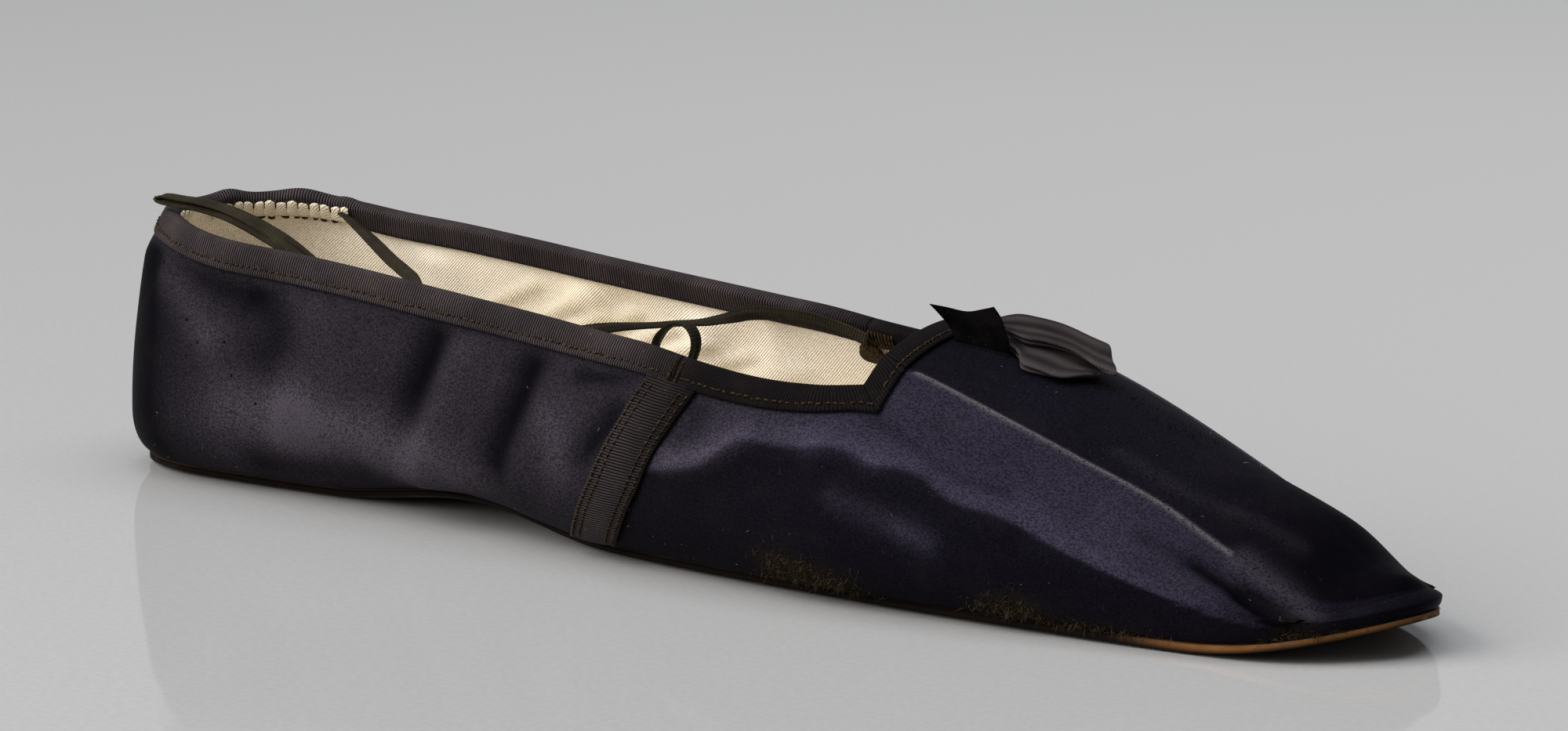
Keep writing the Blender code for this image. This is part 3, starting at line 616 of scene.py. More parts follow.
def distance_to(points, path):
    """Distance from each point to a path of straight pieces."""
    nearest = np.full(points.shape[:-1], np.inf)
    for start, end in zip(path[:-1], path[1:]):
        run = end - start
        t = np.clip((points - start) @ run / (run @ run), 0.0, 1.0)
        nearest = np.minimum(nearest, np.linalg.norm(points - start - t[..., None] * run, axis=-1))
    return nearest


def fold_path(fold):
    """Points of the last's face along a fold's path."""
    x, level = np.transpose(fold.path)
    return wall(x / LENGTH, level, fold.side)


def bound_edge(side):
    """Path of the topline and then of the throat's edge, up to the crest."""
    share = np.linspace(0.0, THROAT, 50)
    over = np.linspace(edge_level(THROAT), 3.0, 12)[1:]
    return np.vstack([wall(share, edge_level(share), side), wall(THROAT, over, side)])


fold_paths = [fold_path(fold) for fold in FOLDS]
bound_edges = [bound_edge(NEAR), bound_edge(FAR)]


def relief(points, level):
    """(height, painted light, bareness) of the folds at points of the last's face, flat under the bindings.
    """
    field = np.zeros((3, *points.shape[:-1]))
    for fold, path in zip(FOLDS, fold_paths):
        share = bell(distance_to(points, path) / fold.width)
        for values, amount in zip(field, (fold.height, fold.light, fold.rub)):
            values += amount * share
    held = np.minimum(*[distance_to(points, edge) for edge in bound_edges])
    return field * soft_step((held - HELD_FLAT) / HELD_FADE) * soft_step(level / FOOT_FADE)


def painted_sheen(x, level):
    """Painted sheen on the smooth satin: the quarters all over, and the vamp between its wave and its ridge.
    """
    quarter = soft_step((QUARTER_FRONT + QUARTER_SLANT * level - x) / QUARTER_FADE)
    over_wave = level - column(WAVE, "level", x)
    band = soft_step(over_wave / WAVE_FADE) * soft_step((BAND_END - x) / BAND_FADE)
    sheen = BAND_LIGHT + RIM_LIGHT * bell((over_wave - RIM_LEVEL) / RIM_WIDTH)
    ridge = RIDGE_LEVEL + RIDGE_CLIMB * soft_step((x - CLIMB_FROM) / CLIMB_FADE)
    under_ridge = 1 - soft_step((level - ridge) / RIDGE_FADE)
    top = TOP_LIGHT * (1 - soft_step((x - TOP_DIMS_FROM) / TOP_DIMS_FADE))
    vamp = top + (VAMP_LIGHT + sheen * band - top) * under_ridge
    return QUARTER_LIGHT * quarter + vamp * (1 - quarter)


def skin(share, level, side, height=0.0):
    """Points at a height over the folded satin."""
    points = wall(share, level, side)
    level = np.broadcast_to(level, points.shape[:-1])
    height = relief(points, level)[0] + height
    return points + height[..., None] * outward(share, level, side)


# Rows of the upper's mesh under the belly, up the side, under the ridge and over it, closest at the ridge
BELLY_ROWS = 14
SIDE_ROWS = 34
UNDER_RIDGE_ROWS = 22
UNDER_RIDGE_POWER = 1.7
OVER_RIDGE_ROWS = 40
OVER_RIDGE_POWER = 1.6
TOE_SIDE_TOP = 1.5


def side_levels(share):
    """Levels of mesh rows from the feather line up to the topline, and on over the vamp in line with it."""
    corner = edge_level(np.minimum(share, THROAT))
    past = np.clip((share - THROAT) / (1 - THROAT), 0.0, 1.0)
    edge = corner + (TOE_SIDE_TOP - corner) * past
    low = np.tile(np.linspace(0, 1, BELLY_ROWS), (len(share), 1))
    return np.hstack([low, 1 + (edge[:, None] - 1) * np.linspace(0, 1, SIDE_ROWS)[1:]])


def vamp_levels(share):
    """Levels of mesh rows from the top of the side rows to the crest, close together at the ridge."""
    edge = side_levels(share)[:, -1:]
    under = 1 - np.linspace(1, 0, UNDER_RIDGE_ROWS) ** UNDER_RIDGE_POWER
    over = 2 + np.linspace(0, 1, OVER_RIDGE_ROWS)[1:] ** OVER_RIDGE_POWER
    return np.hstack([edge + (2 - edge) * under, np.tile(over, (len(share), 1))])


def side_faces(rows, columns, first, side):
    """Quads of a grid of stations and levels, facing out of the shoe."""
    faces = grid_faces(rows, columns, first)
    return faces if side == NEAR else [face[::-1] for face in faces]


def joined(grids):
    """(points, faces) of grids given as a side and points in stations and levels."""
    points, faces, first = [], [], 0
    for side, grid in grids:
        points.append(grid.reshape(-1, 3))
        faces += side_faces(*grid.shape[:2], first, side)
        first += len(points[-1])
    return np.vstack(points), faces


def cloth_map(grid):
    """Each point's place on the flat cloth: along the rows' middle, and across from the first column."""
    middle = grid[:, grid.shape[1] // 2]
    along = np.cumsum(np.linalg.norm(np.diff(middle, axis=0, prepend=middle[:1]), axis=1))
    across = np.cumsum(np.linalg.norm(np.diff(grid, axis=1, prepend=grid[:, :1]), axis=2), axis=1)
    return np.stack([np.repeat(along[:, None], grid.shape[1], axis=1), across], axis=2).reshape(-1, 2)


def thicken(piece, thickness, side):
    """A thickness for a sheet of cloth: side 1 is out along its normals, -1 is in and 0 is both ways."""
    shell = piece.modifiers.new("thickness", "SOLIDIFY")
    shell.thickness = thickness * MM
    shell.offset = side


def along_axis(tree, axis):
    """A point's place along one axis, in metres."""
    place = node(tree, "TexCoord").outputs["Object"]
    return node(tree, "SeparateXYZ", {"Vector": place}).outputs[axis]


cloth_dust, given, result = node_group(
    "cloth_dust", {"Cloth": "Color", "Lint": "Color", "Amount": "Float"}, {"Color": "Color"}
)
film = spread(cloth_dust, noise(cloth_dust, 160.0, 5.0), 0.45, 0.85, 0.0, 0.35)
specks = spread(cloth_dust, noise(cloth_dust, 1500.0, 2.0, (1.0, 1.0, 0.6)), 0.66, 0.78)
dust = calculate(cloth_dust, "MULTIPLY", calculate(cloth_dust, "ADD", film, specks), given.outputs["Amount"])
dusted = mix(cloth_dust, dust, given.outputs["Cloth"], given.outputs["Lint"])
cloth_dust.links.new(dusted, result.inputs["Color"])

sheen = {"Specular IOR Level": 0.01, "Specular Tint": (0.82, 0.78, 1.0, 1)}
satin, tree, shader = new_material("satin", sheen)
mottle = noise(tree, 55.0, 4.0)
grain = noise(tree, 3600.0, 1.0, (0.7, 1.0, 1.0))
patchy = spread(tree, mottle, 0.3, 0.7, 0.8, 1.15)
uneven = calculate(tree, "MULTIPLY", patchy, spread(tree, grain, 0.25, 0.75, 0.45, 1.55))
# Painted sheen and shade: the light mask lifts the near-black satin toward a pale lavender grey
lustre = calculate(tree, "MULTIPLY", mask(tree, "light"), uneven)
toward_toe = spread(tree, along_axis(tree, "X"), -0.02, 0.06)
shone = mix(tree, toward_toe, (0.046, 0.039, 0.050, 1), (0.041, 0.036, 0.061, 1))
plum = mix(tree, lustre, (0.0019, 0.0016, 0.0026, 1), shone)
lint = {"Cloth": plum, "Lint": (0.08, 0.07, 0.065, 1), "Amount": 0.07}
dusty_and_lit = node(tree, "Group", lint, node_tree=cloth_dust).outputs["Color"]
threadbare = calculate(tree, "MULTIPLY", mask(tree, "rubbed"), spread(tree, grain, 0.2, 0.55))
pale = mix(tree, threadbare, dusty_and_lit, (0.080, 0.073, 0.080, 1))
frayed = calculate(tree, "MULTIPLY", mask(tree, "worn"), spread(tree, grain, 0.3, 0.5))
tree.links.new(mix(tree, frayed, pale, (0.016, 0.0115, 0.0068, 1)), shader.inputs["Base Color"])
gloss = spread(tree, mottle, 0.3, 0.7, 0.42, 0.55)
tree.links.new(calculate(tree, "MULTIPLY_ADD", frayed, 0.4, gloss), shader.inputs["Roughness"])
pucker = calculate(tree, "MULTIPLY", noise(tree, 240.0, 3.0), 1.5)
bump(tree, shader, calculate(tree, "ADD", grain, pucker), 0.06)

share = np.unique(np.append(stations(UPPER_SPACING), THROAT))
vamp = share[share >= THROAT]
grids = []
cloth = []
masks = {"light": [], "rubbed": [], "worn": []}
for side in (NEAR, FAR):
    for place, level in ((share, side_levels(share)), (vamp, vamp_levels(vamp))):
        face = wall(place[:, None], level, side)
        height, light, rub = relief(face, level)
        wear = np.zeros_like(rub)
        for spot in WORN:
            middle = wall(spot.x / LENGTH, spot.level, spot.side)
            away = (face - middle) / (spot.along, spot.along, spot.up)
            wear += spot.strength * bell(np.linalg.norm(away, axis=-1))
        grid = face + height[..., None] * outward(place[:, None], level, side)
        grids.append((side, grid))
        cloth.append(cloth_map(grid))
        # Painted sheen and shade, from the folds and from the smooth satin
        masks["light"].append(np.clip(light + painted_sheen(face[..., 0], level), 0.0, 1.0).ravel())
        masks["rubbed"].append(rub.ravel())
        masks["worn"].append(wear.ravel())
points, faces = joined(grids)
masks = {label: np.concatenate(values) for label, values in masks.items()}
upper = new_piece("satin_upper", points, faces, satin, cloth=np.vstack(cloth), **masks)
thicken(upper, SATIN, -1)
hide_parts("upper")


# Lining
# White linen pasted inside the satin, creased aslant and yellowed by the foot, with painted shade along its
# tucks. Its edge lies under the binding, and at the heel it is turned over the binding's inner leaf.
LINING = 0.4
LINING_GAP = 0.05
LINING_END = 0.93
RUBBED_HEIGHT = 22.0
RUBBED_FADE = 8.0
RUBBED_X = 68.0
RUBBED_REACH = 36.0
RUBBED_SOIL = 0.4
# How strongly painted shade darkens the linen along its tucks
TUCK_SHADE = 1.3

# Tucks of the linen: how far each stands in, its half-width, and its path as pairs of x and level
Tuck = namedtuple("Tuck", "side height width path")
TUCKS = (
    Tuck(FAR, 0.6, 1.0, ((36.0, 1.14), (46.0, 1.28), (60.0, 1.46))),
    Tuck(FAR, 0.8, 1.1, ((48.0, 1.08), (56.0, 1.22), (68.0, 1.42))),
    Tuck(FAR, 0.7, 0.9, ((52.0, 1.02), (62.0, 1.20), (74.0, 1.38))),
    Tuck(FAR, 0.9, 1.2, ((56.0, 1.00), (67.0, 1.20), (80.0, 1.42))),
    Tuck(FAR, 0.7, 0.9, ((64.0, 1.02), (74.0, 1.20), (88.0, 1.40))),
    Tuck(FAR, 0.8, 1.1, ((70.0, 1.00), (81.0, 1.18), (94.0, 1.36))),
    Tuck(FAR, 0.6, 1.0, ((80.0, 1.02), (90.0, 1.18), (101.0, 1.32))),
    Tuck(FAR, 0.4, 1.6, ((92.0, 1.00), (102.0, 1.20), (112.0, 1.30))),
    Tuck(FAR, 0.25, 1.5, ((112.0, 0.95), (126.0, 1.10), (140.0, 1.15))),
    Tuck(NEAR, 0.5, 1.4, ((50.0, 1.00), (60.0, 1.20), (74.0, 1.42))),
    Tuck(NEAR, 0.5, 1.3, ((66.0, 1.00), (78.0, 1.20), (92.0, 1.38))),
    Tuck(NEAR, 0.3, 1.5, ((92.0, 1.00), (104.0, 1.20), (118.0, 1.30))),
)

lining_linen, tree, shader = new_material("lining_linen", {"Roughness": 0.8, "Sheen Weight": 0.1})
weave = node(tree, "Group", {"Pitch": 0.55}, node_tree=plain_weave).outputs["Height"]
cloud = noise(tree, 38.0, 4.0)
fresh = mix(tree, spread(tree, cloud, 0.35, 0.7), (0.97, 0.90, 0.78, 1), (0.93, 0.82, 0.65, 1))
# Yellowing where the foot rubbed, and painted olive shade along the tucks
yellowed_and_shaded = mix(tree, calculate(tree, "MULTIPLY", mask(tree, "soiled"), 0.4), fresh, (0.46, 0.38, 0.20, 1))
# Painted shade in the weave's sunk threads
sunk = mix(tree, spread(tree, weave, 0.0, 0.4, 0.14, 0.0), yellowed_and_shaded, (0.55, 0.46, 0.31, 1))
tree.links.new(sunk, shader.inputs["Base Color"])
slub = calculate(tree, "ADD", weave, noise(tree, 420.0, 3.0))
bump(tree, shader, slub, 0.14)

inside = share[share <= LINING_END]
inside_vamp = inside[inside >= THROAT]
grids = []
cloth = []
soiled = []
for side in (NEAR, FAR):
    for place, level in ((inside, side_levels(inside)), (inside_vamp, vamp_levels(inside_vamp))):
        face = wall(place[:, None], level, side)
        tucked = np.zeros(level.shape)
        for tuck in TUCKS:
            tucked += tuck.height * bell(distance_to(face, fold_path(tuck)) / tuck.width)
        grid = skin(place[:, None], level, side, -SATIN - LINING_GAP - tucked)
        grids.append((side, grid))
        cloth.append(cloth_map(grid))
        high_up = soft_step((grid[..., 2] - RUBBED_HEIGHT) / RUBBED_FADE)
        rubbed_by_foot = high_up * bell((grid[..., 0] - RUBBED_X) / RUBBED_REACH)
        # The foot's yellowing high up, and painted shade in the tucks
        soiled.append((RUBBED_SOIL * rubbed_by_foot + TUCK_SHADE * tucked).ravel())
points, faces = joined(grids)
lining = new_piece(
    "linen_lining", points, faces, lining_linen, cloth=np.vstack(cloth), soiled=np.concatenate(soiled)
)
thicken(lining, LINING, -1)


# Topline binding
# Black ribbed silk ribbon, folded over the cut edge and sewn through near its hem with brown thread. It is
# joined at the side seams and mitred at the throat's corners. At the heel its inner leaf is short and lies
# under the lining.
RIBBON = 0.45
BINDING_DEPTH = 4.0
INNER_DEPTH = 3.3
HEM_ROW = 2.9
SEAM_TOP_X = 127.0
SEAM_GAP = 0.1
SEAM_CLEAR = 0.002
MITRE = 9.0
MITRE_LEVELS = 0.3
OUTER_HEIGHT = 0.6
INNER_HEIGHT = -WALL - 0.55
EDGE_RISE = 0.55
HEEL_INNER = 0.2
HEEL_INNER_END = 18.5
HEEL_INNER_FADE = 3.0
HEEL_NARROW = 0.35
HEEL_NARROW_END = 9.0

# The hem's stitches, and how far any stitch arches, is sunk in the cloth and differs from the next
THREAD = 0.15
STITCH_PITCH = 1.3
STITCH_LENGTH = 0.95
STITCH_HEIGHT = 0.62
STITCH_ARCH = 0.3
STITCH_SUNK = 0.45
STITCH_LENGTHS = (0.6, 1.1)
UNEVEN = 0.1
HEM_RUNS = ((1.0, SEAM_TOP_X - 1), (SEAM_TOP_X + 1, THROAT_X + 2.5))

# The stitches up the throat, in levels, and the rows either side of the ribbon's join at the seam
THROAT_START = 0.03
THROAT_END = 2.96
THROAT_PITCH = 0.052
THROAT_STITCH = 0.038
JOIN_ROWS = (-0.7, 0.8)
JOIN_START = 0.4
JOIN_END = BINDING_DEPTH - 0.6
JOIN_PITCH = 0.7
JOIN_STITCH = 0.5
JOIN_HEIGHT = 0.85

# Where the quarter ribbon, faded and painted paler as a sheen, meets the black vamp ribbon, in metres from
# the middle of the shoe
FADE_AND_SHEEN_SPAN = (-0.012, 0.012)

# The ribbon's outer leaf from its hem to the edge: depth under the edge, and height over the satin
OUTER_LEAF = ((4.0, 0.28), (3.8, 0.46), (3.4, 0.48), (2.9, 0.30), (2.4, 0.48), (1.7, 0.60), (0.8, 0.60))
INNER_LEAF = (0.2, 0.5, 0.8, 1.0)

# Lumps where the ribbon is gathered at the heel: how far each stands up, and its half-width
Lump = namedtuple("Lump", "side x height width")
HEEL_LUMPS = (
    Lump(NEAR, 0.6, 0.6, 1.4),
    Lump(FAR, 1.3, 1.0, 2.6),
    Lump(FAR, 11.5, 0.9, 4.0),
    Lump(FAR, 19.6, 0.4, 1.2),
)

ribbed_weave, given, result = node_group(
    "ribbed_weave", {"Pitch": "Float"}, {"Height": "Float", "Groove Shade": "Float"}
)
cloth_place = node(ribbed_weave, "UVMap", uv_map="cloth").outputs["UV"]
across_cloth = node(ribbed_weave, "SeparateXYZ", {"Vector": cloth_place})
waver = node(ribbed_weave, "TexNoise", {"Vector": cloth_place, "Scale": 0.35}).outputs["Fac"]
drift = calculate(ribbed_weave, "MULTIPLY", waver, 4.0)
ribs = even_threads(ribbed_weave, across_cloth.outputs["X"], given.outputs["Pitch"], drift)
pick = node(ribbed_weave, "TexNoise", {"Vector": cloth_place, "Scale": 3.2, "Detail": 1.0}).outputs["Fac"]
raised = calculate(ribbed_weave, "MULTIPLY_ADD", ribs, 0.35, pick)
ribbed_weave.links.new(raised, result.inputs["Height"])
# Painted shade in the grooves between the ribs
ribbed_weave.links.new(spread(ribbed_weave, ribs, 0.2, -0.8), result.inputs["Groove Shade"])

grosgrain, tree, shader = new_material("grosgrain", {"Specular IOR Level": 0.05})
ribbed = node(tree, "Group", {"Pitch": 0.48}, node_tree=ribbed_weave)
fade = noise(tree, 120.0, 3.0)
along = along_axis(tree, "X")
patchy = spread(tree, fade, 0.3, 0.7, 0.5, 0.85)
# Fading and painted sheen on the quarter ribbon, none on the vamp ribbon
faded = calculate(tree, "MULTIPLY", patchy, spread(tree, along, *FADE_AND_SHEEN_SPAN, 1.0, 0.06))
black = mix(tree, faded, (0.0042, 0.0033, 0.0035, 1), (0.062, 0.049, 0.052, 1))
# Painted shade darkens the grooves between the ribs
groove_shaded = mix(tree, ribbed.outputs["Groove Shade"], black, (0.0025, 0.0021, 0.0024, 1))
amount = spread(tree, along, *FADE_AND_SHEEN_SPAN, 0.25, 0.08)
lint = {"Cloth": groove_shaded, "Lint": (0.12, 0.09, 0.065, 1), "Amount": amount}
tree.links.new(node(tree, "Group", lint, node_tree=cloth_dust).outputs["Color"], shader.inputs["Base Color"])
tree.links.new(spread(tree, fade, 0.3, 0.7, 0.5, 0.68), shader.inputs["Roughness"])
bump(tree, shader, ribbed.outputs["Height"], 0.16)


def inner_depth(share):
    """Depth of the ribbon's inner leaf, which is short round the heel."""
    full = soft_step((share * LENGTH - HEEL_INNER_END) / HEEL_INNER_FADE)
    return HEEL_INNER + (INNER_DEPTH - HEEL_INNER) * full


def narrowed(share):
    """How wide the ribbon's outer leaf is, gathered narrow at the back of the heel."""
    return HEEL_NARROW + (1 - HEEL_NARROW) * soft_step(share * LENGTH / HEEL_NARROW_END)


def gathers(edge):
    """How far the ribbon stands up at points of the topline."""
    rise = np.zeros(edge.shape[:-1])
    for lump in HEEL_LUMPS:
        middle = wall(lump.x / LENGTH, edge_level(lump.x / LENGTH), lump.side)
        rise += lump.height * bell(np.linalg.norm(edge - middle, axis=-1) / lump.width)
    return rise


def over_edge(edge, normal, away):
    """Points of the ribbon where it turns over a cut edge."""
    rows = []
    for turn in np.linspace(0, math.pi, 9):
        out = 0.5 * (OUTER_HEIGHT + INNER_HEIGHT) + 0.5 * (OUTER_HEIGHT - INNER_HEIGHT) * math.cos(turn)
        rows.append(edge + out * normal + EDGE_RISE * math.sin(turn) * away)
    return rows


def unit(vectors):
    """Vectors at a length of 1."""
    return vectors / np.linalg.norm(vectors, axis=-1, keepdims=True)


def under_topline(share, depth, side, height):
    """Points at a depth under the topline and a height over the satin."""
    return skin(share, below_edge(share, depth), side, height)


def topline_fold(share, side):
    """The folded ribbon at stations along the topline, from its outer hem to its inner hem."""
    slant = np.clip((share - THROAT) * LENGTH / MITRE + 1, 0, 1) / LENGTH
    outer = []
    for depth, height in OUTER_LEAF:
        outer.append(under_topline(share + slant * depth, depth * narrowed(share), side, height))
    inner = []
    for part in INNER_LEAF:
        depth = inner_depth(share) * part
        inner.append(under_topline(share + slant * depth, depth, side, INNER_HEIGHT))
    level = edge_level(share)
    edge = wall(share, level, side)
    away = unit(edge - wall(share, level - 0.02, side))
    edge = edge + gathers(edge)[..., None] * away
    return np.stack(outer + over_edge(edge, outward(share, level, side), away) + inner, axis=1)


def throat_fold(level, side):
    """The folded ribbon at levels up the throat's edge, from its outer hem to its inner hem."""
    corner = edge_level(THROAT)
    slant = np.clip(1 - (level - corner) / MITRE_LEVELS, 0, 1)

    def laid(depth, height):
        """One row of the ribbon, slanted near the corner to meet the topline's ribbon in a mitre."""
        at = THROAT + depth / LENGTH
        return skin(at, level + slant * (below_edge(at, depth) - corner), side, height)

    outer = [laid(depth, height) for depth, height in OUTER_LEAF]
    inner = [laid(INNER_DEPTH * part, INNER_HEIGHT) for part in INNER_LEAF]
    edge = wall(THROAT, level, side)
    away = unit(edge - wall(THROAT + 0.002, level, side))
    return np.stack(outer + over_edge(edge, outward(THROAT, level, side), away) + inner, axis=1)


def sewn_ribbon(name, grids, material, thickness, stands_for, slot, **masks):
    """A ribbon of even thickness through grids of points, in place of some solids."""
    points, faces = joined(grids)
    cloth = np.vstack([cloth_map(grid) for _, grid in grids])
    piece = new_piece(name, points, faces, material, cloth=cloth, **masks)
    thicken(piece, thickness, 0)
    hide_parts(*stands_for)
    return piece


seam = SEAM_TOP_X / LENGTH
quarter_share = np.append(share[share < seam - SEAM_CLEAR], seam - SEAM_GAP / LENGTH)
vamp_share = np.linspace(seam + SEAM_GAP / LENGTH, THROAT, 40)
throat_level = np.concatenate([np.linspace(edge_level(THROAT), 2, 24), np.linspace(2, 3, 22)[1:]])
quarters = [(side, topline_fold(quarter_share, side)) for side in (NEAR, FAR)]
sewn_ribbon("quarter_ribbon", quarters, grosgrain, RIBBON, ["quarter_binding"], "grosgrain")
for side, hand in ((NEAR, "right"), (FAR, "left")):
    grids = [(side, topline_fold(vamp_share, side))]
    sewn_ribbon("vamp_ribbon_" + hand, grids, grosgrain, RIBBON, ["vamp_binding_" + hand], "grosgrain")
throats = [(side, throat_fold(throat_level, side)) for side in (NEAR, FAR)]
sewn_ribbon("throat_ribbon", throats, grosgrain, RIBBON, ["throat_binding"], "grosgrain")


def spun_thread(name, roughness, scale, dark, pale):
    """A matt sewing thread in two shades, with its twist in relief."""
    material, tree, shader = new_material(name, {"Roughness": roughness, "Specular IOR Level": 0.1})
    twist = noise(tree, scale, 1.0)
    tree.links.new(mix(tree, spread(tree, twist, 0.35, 0.65), dark, pale), shader.inputs["Base Color"])
    bump(tree, shader, twist, 0.08)
    return material


brown_thread = spun_thread("brown_thread", 0.7, 2600.0, (0.012, 0.008, 0.0045, 1), (0.048, 0.030, 0.014, 1))

# A direction that no thread follows, to turn its sides from
ASKEW = (0.31, 0.22, 0.92)


def thread_piece(name, paths, radii, sides, material, woven=False):
    """A piece of many threads along paths of equally many stops, with a cloth map if its finish is woven."""
    count, stops = paths.shape[:2]
    ahead = unit(np.gradient(paths, axis=1))
    across = unit(np.cross(ahead, ASKEW))
    up = np.cross(across, ahead)
    turn = np.linspace(0, 2 * math.pi, sides, endpoint=False)[:, None]
    ring = across[:, :, None] * np.cos(turn) + up[:, :, None] * np.sin(turn)
    points = paths[:, :, None] + np.broadcast_to(radii, (count, stops))[..., None, None] * ring
    number = np.arange(count * stops * sides).reshape(count, stops, sides)
    start, end = number[:, :-1], number[:, 1:]
    quads = np.stack([start, end, np.roll(end, -1, axis=2), np.roll(start, -1, axis=2)], axis=-1)
    caps = np.concatenate([number[:, 0], number[:, -1, ::-1]])
    points = points.reshape(-1, 3)
    faces = quads.reshape(-1, 4).tolist() + caps.tolist()
    piece = new_piece(name, points, faces, material, cloth=points[:, :2] if woven else None)


rng = np.random.default_rng(7)


def stitches(start, end, normal):
    """Paths of short stitches that dip into the cloth at both ends."""
    t = np.linspace(0, 1, 5)[:, None]
    line = start[:, None] + (end - start)[:, None] * t
    return line + normal[:, None] * STITCH_ARCH * (np.sin(math.pi * t) - STITCH_SUNK)


def hem_row(share):
    """Depth of the stitches near the ribbon's hem."""
    return HEM_ROW * narrowed(share)


def stitch_row(first_x, last_x, pitch, length, depth_at, height, side):
    """Hand stitches at a depth under the topline, from one x to another, no two quite alike."""
    x = np.arange(first_x, last_x, pitch)
    x = x + rng.normal(0.0, UNEVEN * pitch, len(x))
    reach = length * rng.uniform(*STITCH_LENGTHS, len(x))
    ends = [x / LENGTH, (x + reach) / LENGTH]
    depths = [depth_at(at) + rng.normal(0.0, UNEVEN, len(x)) for at in ends]
    start, end = [under_topline(at, depth, side, height) for at, depth in zip(ends, depths)]
    normal = outward(ends[0], below_edge(ends[0], depths[0]), side) * np.sign(height)
    return stitches(start, end, normal)


sewing = []
for side in (NEAR, FAR):
    for first_x, last_x in HEM_RUNS:
        row = stitch_row(first_x, last_x, STITCH_PITCH, STITCH_LENGTH, hem_row, STITCH_HEIGHT, side)
        sewing.append(row)
    at = THROAT + HEM_ROW / LENGTH
    level = np.arange(edge_level(THROAT) + THROAT_START, THROAT_END, THROAT_PITCH)
    start, end = [skin(at, level + shift, side, STITCH_HEIGHT) for shift in (0.0, THROAT_STITCH)]
    sewing.append(stitches(start, end, outward(at, level, side)))
    depth = np.arange(JOIN_START, JOIN_END, JOIN_PITCH)
    for beside in JOIN_ROWS:
        at = np.full(depth.shape, (SEAM_TOP_X + beside) / LENGTH)
        start, end = [under_topline(at, depth + shift, side, JOIN_HEIGHT) for shift in (0.0, JOIN_STITCH)]
        sewing.append(stitches(start, end, outward(at, below_edge(at, depth), side)))
thread_piece("binding_stitches", np.concatenate(sewing), THREAD, 6, brown_thread)


# Heel whipping
# The lining's top at the heel is turned over the ribbon's inner leaf and whipped down with dark thread,
# which draws it into small cream scallops. A row of running stitches holds it lower down.
WHIP_START = 0.2
WHIP_END = 20.5
WHIP_PITCH = 1.9
WHIP_THREAD = 0.22
WHIP_HEIGHT = -WALL - 0.80
WHIP_DEPTHS = (-0.4, 1.5)
WHIP_MIDDLE = 1.0
NOTCH_DEPTH = 0.5
SCALLOP_STOPS = 260
SCALLOP_RISE = 0.9
SCALLOP_ROUND = 0.4
SCALLOP_UNEVEN = 0.2
SCALLOP_DRIFT = 2.7
SCALLOP_DEPTH = 2.4
SCALLOP_INWARD = WALL + 0.60
SCALLOP_SWELL = 0.22
SCALLOP_SOIL = 1.2
RUNNING_MARGIN = 3.0
RUNNING_DEPTH = SCALLOP_DEPTH + 0.8
RUNNING_HEIGHT = -WALL - 0.4
RUNNING_PITCH = 1.7
RUNNING_STITCH = 1.1

along = np.linspace(WHIP_START, WHIP_END, SCALLOP_STOPS) / LENGTH
edge = wall(along, edge_level(along), NEAR)
phase = np.cumsum(np.linalg.norm(np.diff(edge, axis=0, prepend=edge[:1]), axis=1)) / WHIP_PITCH
uneven = 1 - SCALLOP_UNEVEN + SCALLOP_UNEVEN * np.sin(SCALLOP_DRIFT * phase)
full = np.abs(np.sin(math.pi * phase)) ** SCALLOP_ROUND * uneven
down = np.linspace(0, 1, 9)[None, :]
depth = (NOTCH_DEPTH - SCALLOP_RISE * full[:, None]) * (1 - down) + SCALLOP_DEPTH * down
inward = SCALLOP_INWARD + SCALLOP_SWELL * full[:, None] * np.sin(math.pi * down) ** 0.5
scallops = [(side, under_topline(along[:, None], depth, side, -inward)) for side in (NEAR, FAR)]
points, faces = joined(scallops)
cloth = np.vstack([cloth_map(grid) for _, grid in scallops])
soiled = np.full(len(points), SCALLOP_SOIL)
turned_edge = new_piece("lining_turned_edge", points, faces, lining_linen, cloth=cloth, soiled=soiled)
thicken(turned_edge, LINING, 1)


def running_row(share):
    """Depth of the running stitches under the scallops."""
    return np.full_like(share, RUNNING_DEPTH)


notches = np.interp(np.arange(1, int(phase[-1]) + 1), phase, along)
whipping = []
for side in (NEAR, FAR):
    ends = [under_topline(notches, depth, side, WHIP_HEIGHT) for depth in WHIP_DEPTHS]
    whipping.append(stitches(*ends, -outward(notches, below_edge(notches, WHIP_MIDDLE), side)))
    run = (RUNNING_MARGIN, WHIP_END - RUNNING_MARGIN)
    row = stitch_row(*run, RUNNING_PITCH, RUNNING_STITCH, running_row, RUNNING_HEIGHT, side)
    whipping.append(row)
dark_thread = spun_thread("dark_thread", 0.75, 2200.0, (0.014, 0.009, 0.005, 1), (0.045, 0.028, 0.013, 1))
thread_piece("heel_whipping", np.concatenate(whipping), WHIP_THREAD, 6, dark_thread)


# Side seam tapes
# The same ribbed ribbon laid flat over each slanted side seam, from the binding to the sole, and sewn down
# with two rows of stitches along either edge.
SEAM_BOTTOM_X = 111.5
SEAM_WIDTH = 10.0
SEAM_FOOT = 0.3
SEAM_LAP = 0.2
SEAM_ROWS = (-4.4, -2.9, 2.9, 4.4)
SEAM_HEIGHT = 0.52
SEAM_PRESSED = 0.14
PRESSED_MIDDLE = 3.6
PRESSED_WIDTH = 1.1
SEAM_STITCH_HEIGHT = 0.70
SEAM_SPAN = (0.05, 0.98)
SEAM_PITCH = 0.030
SEAM_STITCH = 0.020


